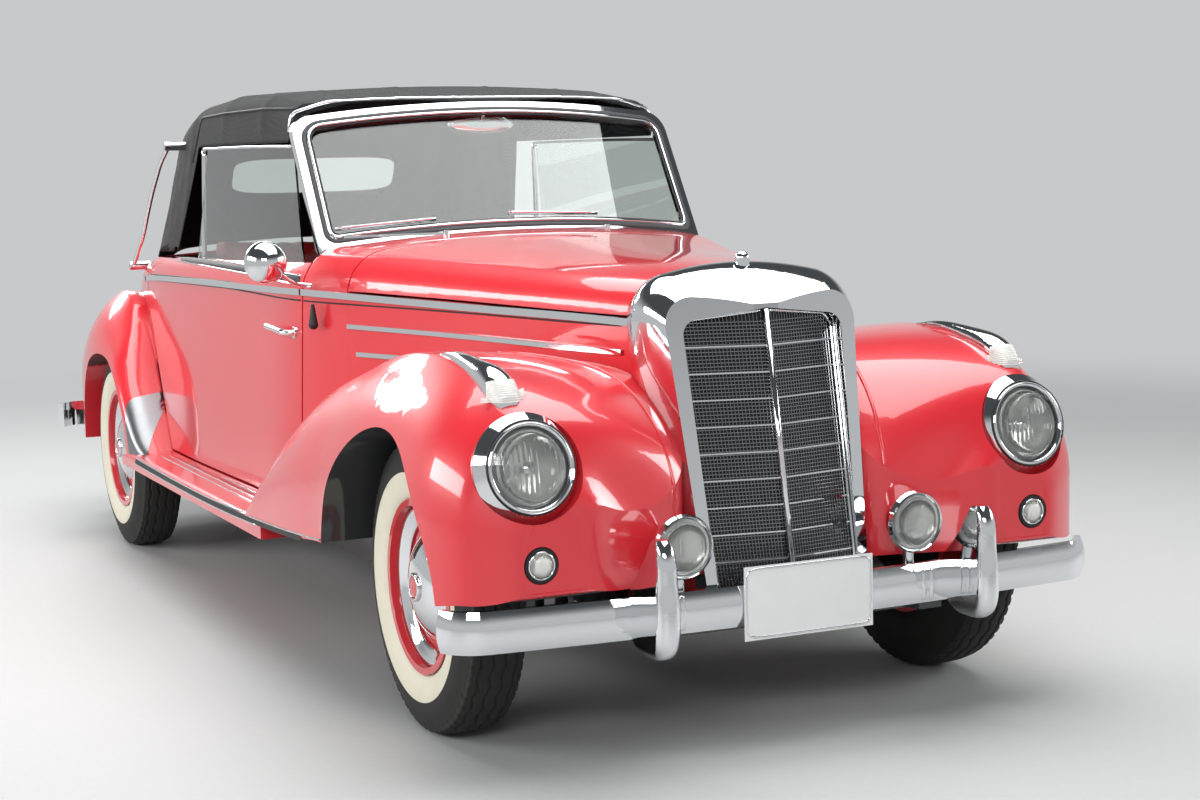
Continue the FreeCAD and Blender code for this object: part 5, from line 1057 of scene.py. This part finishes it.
station, height = (hood_grid[..., 1] - FRONT_AXLE) * 1000, hood_grid[..., 2]
side_share = np.abs(np.broadcast_to(columns, station.shape))
edge_calm = np.clip((1 - side_share) / 0.06, 0, 1) * np.clip((station - 1290) / 60, 0, 1)
folds = sum(bell(station, hoop, 34) * BULGE for hoop in HOOPS)
front = np.clip((station - 1300) / 340, 0, 1)
folds += -FRONT_SAG * np.sin(np.pi * front) ** 2 * (station < HOOPS[0])
for first, last in zip(HOOPS, HOOPS[1:]):
    between = np.clip((station - first) / (last - first), 0, 1)
    folds += -SAG * np.sin(np.pi * between) ** 2 * (1 - side_share**4)
rear = np.clip((station - 2500) / 260, 0, 1)
pucker = np.sin(station / 21 + height * 38 + side_share * 9) * np.sin(station / 57 - height * 23)
folds += rear * pucker * PUCKER * np.clip((side_share - 0.25) / 0.3, 0, 1)
folds += np.sin(side_share * 55 + station / 300) * RIPPLE * bell(station, 1330, 70)
seam = bell(side_share, 0.655, 0.0075) + bell(side_share, 0.30, 0.006) * (station < DECK)
folds += seam * SEAM_HIGH
hood_grid = hood_grid + grid_normals(hood_grid) * (folds * edge_calm / 1000 - 0.001)[..., None]
distance, way_out = pane_distance(hood_grid)
behind = station > DECK
near = (np.abs(distance) < 0.0058) & behind
steep = np.gradient(hood_grid[..., 1], axis=0) / (np.gradient(hood_grid[..., 2], axis=0) - 1e-6)
shift = way_out * -distance[..., None] * near[..., None]
hood_grid[..., 0] += shift[..., 0]
hood_grid[..., 2] += shift[..., 1]
hood_grid[..., 1] += shift[..., 1] * steep * near
inside = (pane_distance(hood_grid)[0] < 0.0004) & behind
hood = surface("hood_canvas", hood_grid, hood_canvas)
corners = np.stack([inside[:-1, :-1], inside[:-1, 1:], inside[1:, 1:], inside[1:, :-1]], -1)
cut = np.nonzero(corners.all(-1).reshape(-1))[0]
work = bmesh.new()
work.from_mesh(hood.data)
work.faces.ensure_lookup_table()
bmesh.ops.delete(work, geom=[work.faces[index] for index in cut.tolist()], context="FACES")
bmesh.ops.recalc_face_normals(work, faces=work.faces)
work.to_mesh(hood.data)
work.free()
thick = hood.modifiers.new("cloth thickness", "SOLIDIFY")
thick.thickness, thick.offset, thick.use_rim = HOOD_THICK, -1.0, True
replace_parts(hood, "soft_top")

# %% [markdown]
# A bright rail holds the hood's front edge to the windscreen, and a roll of piping covers
# the seam above each side window. A rubber rim holds the rear pane in its hole.

# %% Hood rail, piping and rear pane rim
RAIL_ROW, PIPING_COLUMN, PIPING_END, POWER = 3, 9, 2480, 2 / 5
edge_normals = grid_normals(hood_grid)
strip("hood_rail", hood_grid[RAIL_ROW, 2:-2], edge_normals[RAIL_ROW, 2:-2],
      half_round(0.011, 0.006), chrome)
piped = (hood_grid[:, 0, 1] < along(PIPING_END)) & (np.arange(rows) > 4)
for side, column in (("right", PIPING_COLUMN), ("left", len(columns) - 1 - PIPING_COLUMN)):
    strip("hood_piping_" + side, hood_grid[piped, column], edge_normals[piped, column],
          half_round(0.007, 0.004), seal_black)
angle = np.linspace(0, 2 * np.pi, 120, endpoint=False)
reach_x, reach_z = (np.abs(wave) ** POWER * np.sign(wave)
                    for wave in (np.cos(angle), np.sin(angle)))
starts = np.stack([reach_x * (PANE_HALF + 0.002), angle * 0 + along(3300),
                   PANE_MIDDLE + reach_z * (PANE_HALF_HIGH + 0.003)], -1)
spots, normals = laid(skin("soft_top", "rear_window"), starts, (0, -1, 0), lift=0.001)
strip("rear_pane_rim", spots, normals, half_round(0.014, 0.005), seal_black, closed=True)
print("hood trim made")

# %% [markdown]
# The seats are coil springs and horsehair under red leather. Each starts from its solid,
# turned into an even mesh, and a cloth simulation blows it up a little against its own
# skin, which gives the swelled faces and pulled-in corners of real upholstery. Sewn
# channels are pressed in afterwards, as the thread pulls the leather down.

# %% Seats by cloth simulation
SEAT_VOXEL, SEAT_CAP, SEAT_FRAMES, SEAT_PRESSURE, SEAT_FILL = 0.016, 0.024, 20, 4.0, 0.7
CHANNEL_PITCH, CHANNEL_DEPTH, SEAT_GROWTH = 0.062, 0.009, 0.004


def even_copy(name, node):
    """A node's mesh as a new object of even small faces."""
    mesh = nodes[node].data.copy()
    mesh.transform(nodes[node].matrix_world)
    mesh.materials.clear()
    mesh.materials.append(seat_hide)
    thing = linked(name, mesh)
    mesh.remesh_voxel_size = SEAT_VOXEL
    with bpy.context.temp_override(active_object=thing, object=thing,
                                   selected_objects=[thing]):
        bpy.ops.object.voxel_remesh()
    return thing


def swelled(thing):
    """Cloth under pressure without gravity, with each point's travel capped."""
    before = points_of(thing.data)
    cloth = thing.modifiers.new("swell", "CLOTH")
    cloth.settings.use_pressure = True
    cloth.settings.uniform_pressure_force = SEAT_PRESSURE
    cloth.settings.effector_weights.gravity = 0
    cloth.settings.quality = 4
    cloth.point_cache.frame_start, cloth.point_cache.frame_end = 1, SEAT_FRAMES
    for frame_number in range(1, SEAT_FRAMES + 1):
        bpy.context.scene.frame_set(frame_number)
    shaped = thing.evaluated_get(bpy.context.evaluated_depsgraph_get())
    move = points_of(shaped.data) - before
    thing.modifiers.remove(cloth)
    bpy.context.scene.frame_set(1)
    far = np.linalg.norm(move, axis=1, keepdims=True)
    return before + move * np.minimum(1, SEAT_CAP / (far + 1e-9))


def channelled(mesh, half, centre_x):
    """Presses sewn channels into the padded faces: depth * (1 - |sin|)^3 at each pitch
    across the seat, inside its borders, along the skin's own normals."""
    spots, normals = points_of(mesh), np.empty(len(mesh.vertices) * 3)
    mesh.vertices.foreach_get("normal", normals)
    normals = normals.reshape(-1, 3)
    from_middle = np.abs(spots[:, 0:1] - np.asarray(centre_x)[None, :]).min(1)
    inside = np.clip((half - 0.07 - from_middle) / 0.02, 0, 1)
    facing = np.clip(normals[:, 2] * 1.4, 0, 1) + np.clip(-normals[:, 1] * 1.4, 0, 1)
    wave = (1 - np.abs(np.sin(from_middle * np.pi / CHANNEL_PITCH))) ** 3
    return spots - normals * (wave * inside * np.clip(facing, 0, 1) * CHANNEL_DEPTH)[:, None]


for node, half, centres in (("front_seats", 0.26, (-0.31, 0.31)), ("rear_seat", 0.53, (0.0,))):
    seat = even_copy(node + "_leather", node)
    mesh = seat.data
    mesh.vertices.foreach_set("co", swelled(seat).reshape(-1))
    mesh.update()
    low, high = (np.array(corner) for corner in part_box(node))
    spots = np.clip(channelled(mesh, half, centres), low - SEAT_GROWTH, high + SEAT_GROWTH)
    mesh.vertices.foreach_set("co", spots.reshape(-1))
    mesh.polygons.foreach_set("use_smooth", [True] * len(mesh.polygons))
    mesh.update()
    finish = seat.modifiers.new("smooth leather", "SUBSURF")
    finish.levels = finish.render_levels = 1
    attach(seat, "car")
    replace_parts(seat, node)
    print(node, "faces", len(mesh.polygons))

# %% [markdown]
# Small things finish the inside: the mirror over the windscreen, round instruments on
# the dashboard with bright rims, and the chrome channel that guides each side window.

# %% Inner mirror, instruments and window channels
MIRROR_LAYERS = np.array([(0.0, 0.2), (0.0, 0.86), (0.002, 1.0), (0.008, 1.0), (0.015, 0.86),
                          (0.019, 0.45), (0.020, 0.01)])
MIRROR_HALF, MIRROR_HALF_HIGH, DASH, DIAL_HEIGHT = 0.105, 0.032, 1191, 0.955
DIALS = ((0.33, 0.052), (0.19, 0.030), (0.47, 0.030), (0.0, 0.040))
oval = np.linspace(0, 2 * np.pi, 48, endpoint=False)[None, :]
back, wide = MIRROR_LAYERS[:, :1], MIRROR_LAYERS[:, 1:]
surface("inner_mirror", car_point(0, 1322, 1428) + np.stack([
    wide * MIRROR_HALF * np.cos(oval), 0.012 - back + 0 * oval,
    wide * MIRROR_HALF_HIGH * np.sin(oval)], -1), chrome, close_columns=True, cap_ends=True)
arm = flowing([(0, 1318, 1432), (0, 1306, 1452), (0, 1296, 1476)], 12)
angle = np.linspace(0, 2 * np.pi, 10, endpoint=False)
strip("inner_mirror_arm", car_point(*arm.T), np.tile((1.0, 0, 0), (12, 1)),
      np.stack([np.cos(angle), np.sin(angle)], 1) * 0.005, chrome)
for order, (x, radius) in enumerate(DIALS):
    spot = (x, float(along(DASH)), DIAL_HEIGHT)
    turned("dial_face_%d" % (order + 1), ((0.0035, 0.0001), (0.0035, radius - 0.003),
                                          (0, radius - 0.002)), spot, (0, 1, 0), dial_cream,
           turns=48, closed=False)
    turned("dial_rim_%d" % (order + 1), (
        (0.0005, radius - 0.004), (0.006, radius - 0.003), (0.0075, radius), (0.005, radius + 0.003),
        (0.0005, radius + 0.004)), spot, (0, 1, 0), chrome, turns=48)
for side, sign in SIDES:
    for name, line, count, way, wide, high in (
            ("window_channel_", ((594, 2296, 1010), (592, 2293, 1180), (586, 2288, 1372)), 24,
             (sign, 0, 0), 0.022, 0.008),
            ("window_rail_", ((583, 1330, 1374), (586, 1700, 1379), (586, 2290, 1379)), 60,
             (0, 0, 1), 0.012, 0.003)):
        strip(name + side, car_point(*(flowing(line, count) * (sign, 1, 1)).T),
              np.tile(way, (count, 1)), half_round(wide, high, root=0.006), chrome, "door_" + side)
print("inside pieces made")

# %% [markdown]
# The stage is a pale floor in a studio whose walls are pale and whose ceiling is dark, as
# in a hall for car photographs. Broad lamps hang in it, so paint and chrome show long
# clean highlights between darker tones. Far out, the floor takes the tone of the wall, so
# that no horizon line is left. Near the car it is a plain painted floor with its shadow.

# %% Floor, walls and lamps
WALL_TONE, CEILING_TONE, WALL_LIGHT, FLOOR_REACH = "#DCDEDF", "#54575A", 0.80, 60.0
floor_finish, tree, shader, place = finish_named("pale_studio_floor", Roughness=0.6)
tinted(tree, shader, noise(tree, place, 60.0, Detail=4.0), "#B4B5B5", "#BBBCBC")
far = add(tree, "ShaderNodeVectorMath", {0: place}, operation="LENGTH")
share = add(tree, "ShaderNodeMapRange", {
    "Value": far.outputs["Value"], "From Min": 2.6, "From Max": 8.5},
    interpolation_type="SMOOTHERSTEP")
glow = add(tree, "ShaderNodeEmission", {"Color": linear(WALL_TONE), "Strength": WALL_LIGHT})
blend = add(tree, "ShaderNodeMixShader", {
    0: share.outputs[0], 1: shader.outputs["BSDF"], 2: glow.outputs[0]})
tree.links.new(blend.outputs[0], tree.nodes["Material Output"].inputs["Surface"])
corner = np.linspace(-FLOOR_REACH, FLOOR_REACH, 3)
grid_x, grid_y = np.meshgrid(corner, corner)
floor_mesh = bpy.data.meshes.new("studio_floor")
floor_mesh.from_pydata(np.stack([grid_x, grid_y, grid_x * 0], -1).reshape(-1, 3).tolist(), [],
                       [(0, 1, 4, 3), (1, 2, 5, 4), (3, 4, 7, 6), (4, 5, 8, 7)])
floor_mesh.materials.append(floor_finish)
linked("studio_floor", floor_mesh)

world = bpy.data.worlds.new("studio_walls")
bpy.context.scene.world = world
world.use_nodes = True
tree = world.node_tree
upward = add(tree, "ShaderNodeSeparateXYZ", {
    0: add(tree, "ShaderNodeTexCoord").outputs["Generated"]})
rise = add(tree, "ShaderNodeMapRange", {
    "Value": upward.outputs[2], "From Min": 0.12, "From Max": 0.50},
    interpolation_type="SMOOTHSTEP")
walls = add(tree, "ShaderNodeMix", {
    0: rise.outputs[0], 6: linear(WALL_TONE), 7: linear(CEILING_TONE)}, data_type="RGBA")
air = tree.nodes["Background"]
tree.links.new(walls.outputs[2], air.inputs["Color"])
air.inputs["Strength"].default_value = WALL_LIGHT
for name, spot, target, wide, tall, power in (
        ("roof_lamp", (0.2, -0.4, 4.7), (0, 0, 0), 4.2, 6.6, 400),
        ("front_lamp", (-3.6, -7.5, 3.6), (0, -0.8, 0.7), 3.4, 1.4, 190),
        ("flank_lamp", (-7.2, 0.6, 3.2), (0, 0.2, 0.5), 7.5, 1.5, 330),
        ("left_lamp", (6.8, -2.5, 2.8), (0, 0, 0.6), 4.5, 1.4, 170),
        ("rear_lamp", (-1.0, 7.0, 3.4), (0, 0.6, 0.8), 4.0, 1.4, 170)):
    lamp = bpy.data.lights.new(name, "AREA")
    lamp.shape, lamp.size, lamp.size_y, lamp.energy = "RECTANGLE", wide, tall, power
    thing = linked(name, lamp)
    thing.location = spot
    way = Vector(target) - Vector(spot)
    thing.rotation_euler = way.to_track_quat("-Z", "Y").to_euler()
print("stage lit")

# %% [markdown]
# The camera stands where the photographer stood: in front, to the car's right, at head
# height. Its place, turn and focal length came from fitting the known sizes of the car
# to the picture, so the render and the photograph lie over each other.

# %% Camera
CAMERA_SPOT, SENSOR = (-2.3522, -6.0965, 1.3206), 36.0
YAW, PITCH, ROLL, FOCAL_SHARE, CENTRE_DOWN = 0.43725, 0.11810, 0.02241, 2095.13 / 1200, 6.46 / 1200
ahead = Vector((math.sin(YAW) * math.cos(PITCH), math.cos(YAW) * math.cos(PITCH),
                -math.sin(PITCH)))
right = Vector((math.cos(YAW), -math.sin(YAW), 0))
down = ahead.cross(right)
right, down = (right * math.cos(ROLL) + down * math.sin(ROLL),
               down * math.cos(ROLL) - right * math.sin(ROLL))
lens = bpy.data.cameras.new("photo_camera")
lens.sensor_width, lens.sensor_fit = SENSOR, "HORIZONTAL"
lens.lens, lens.shift_y = SENSOR * FOCAL_SHARE, CENTRE_DOWN
camera = linked("photo_camera", lens)
turn = Matrix((right, -down, -ahead)).transposed()
camera.matrix_world = Matrix.Translation(CAMERA_SPOT) @ turn.to_4x4()
bpy.context.scene.camera = camera
bpy.context.scene.view_settings.view_transform = "Standard"
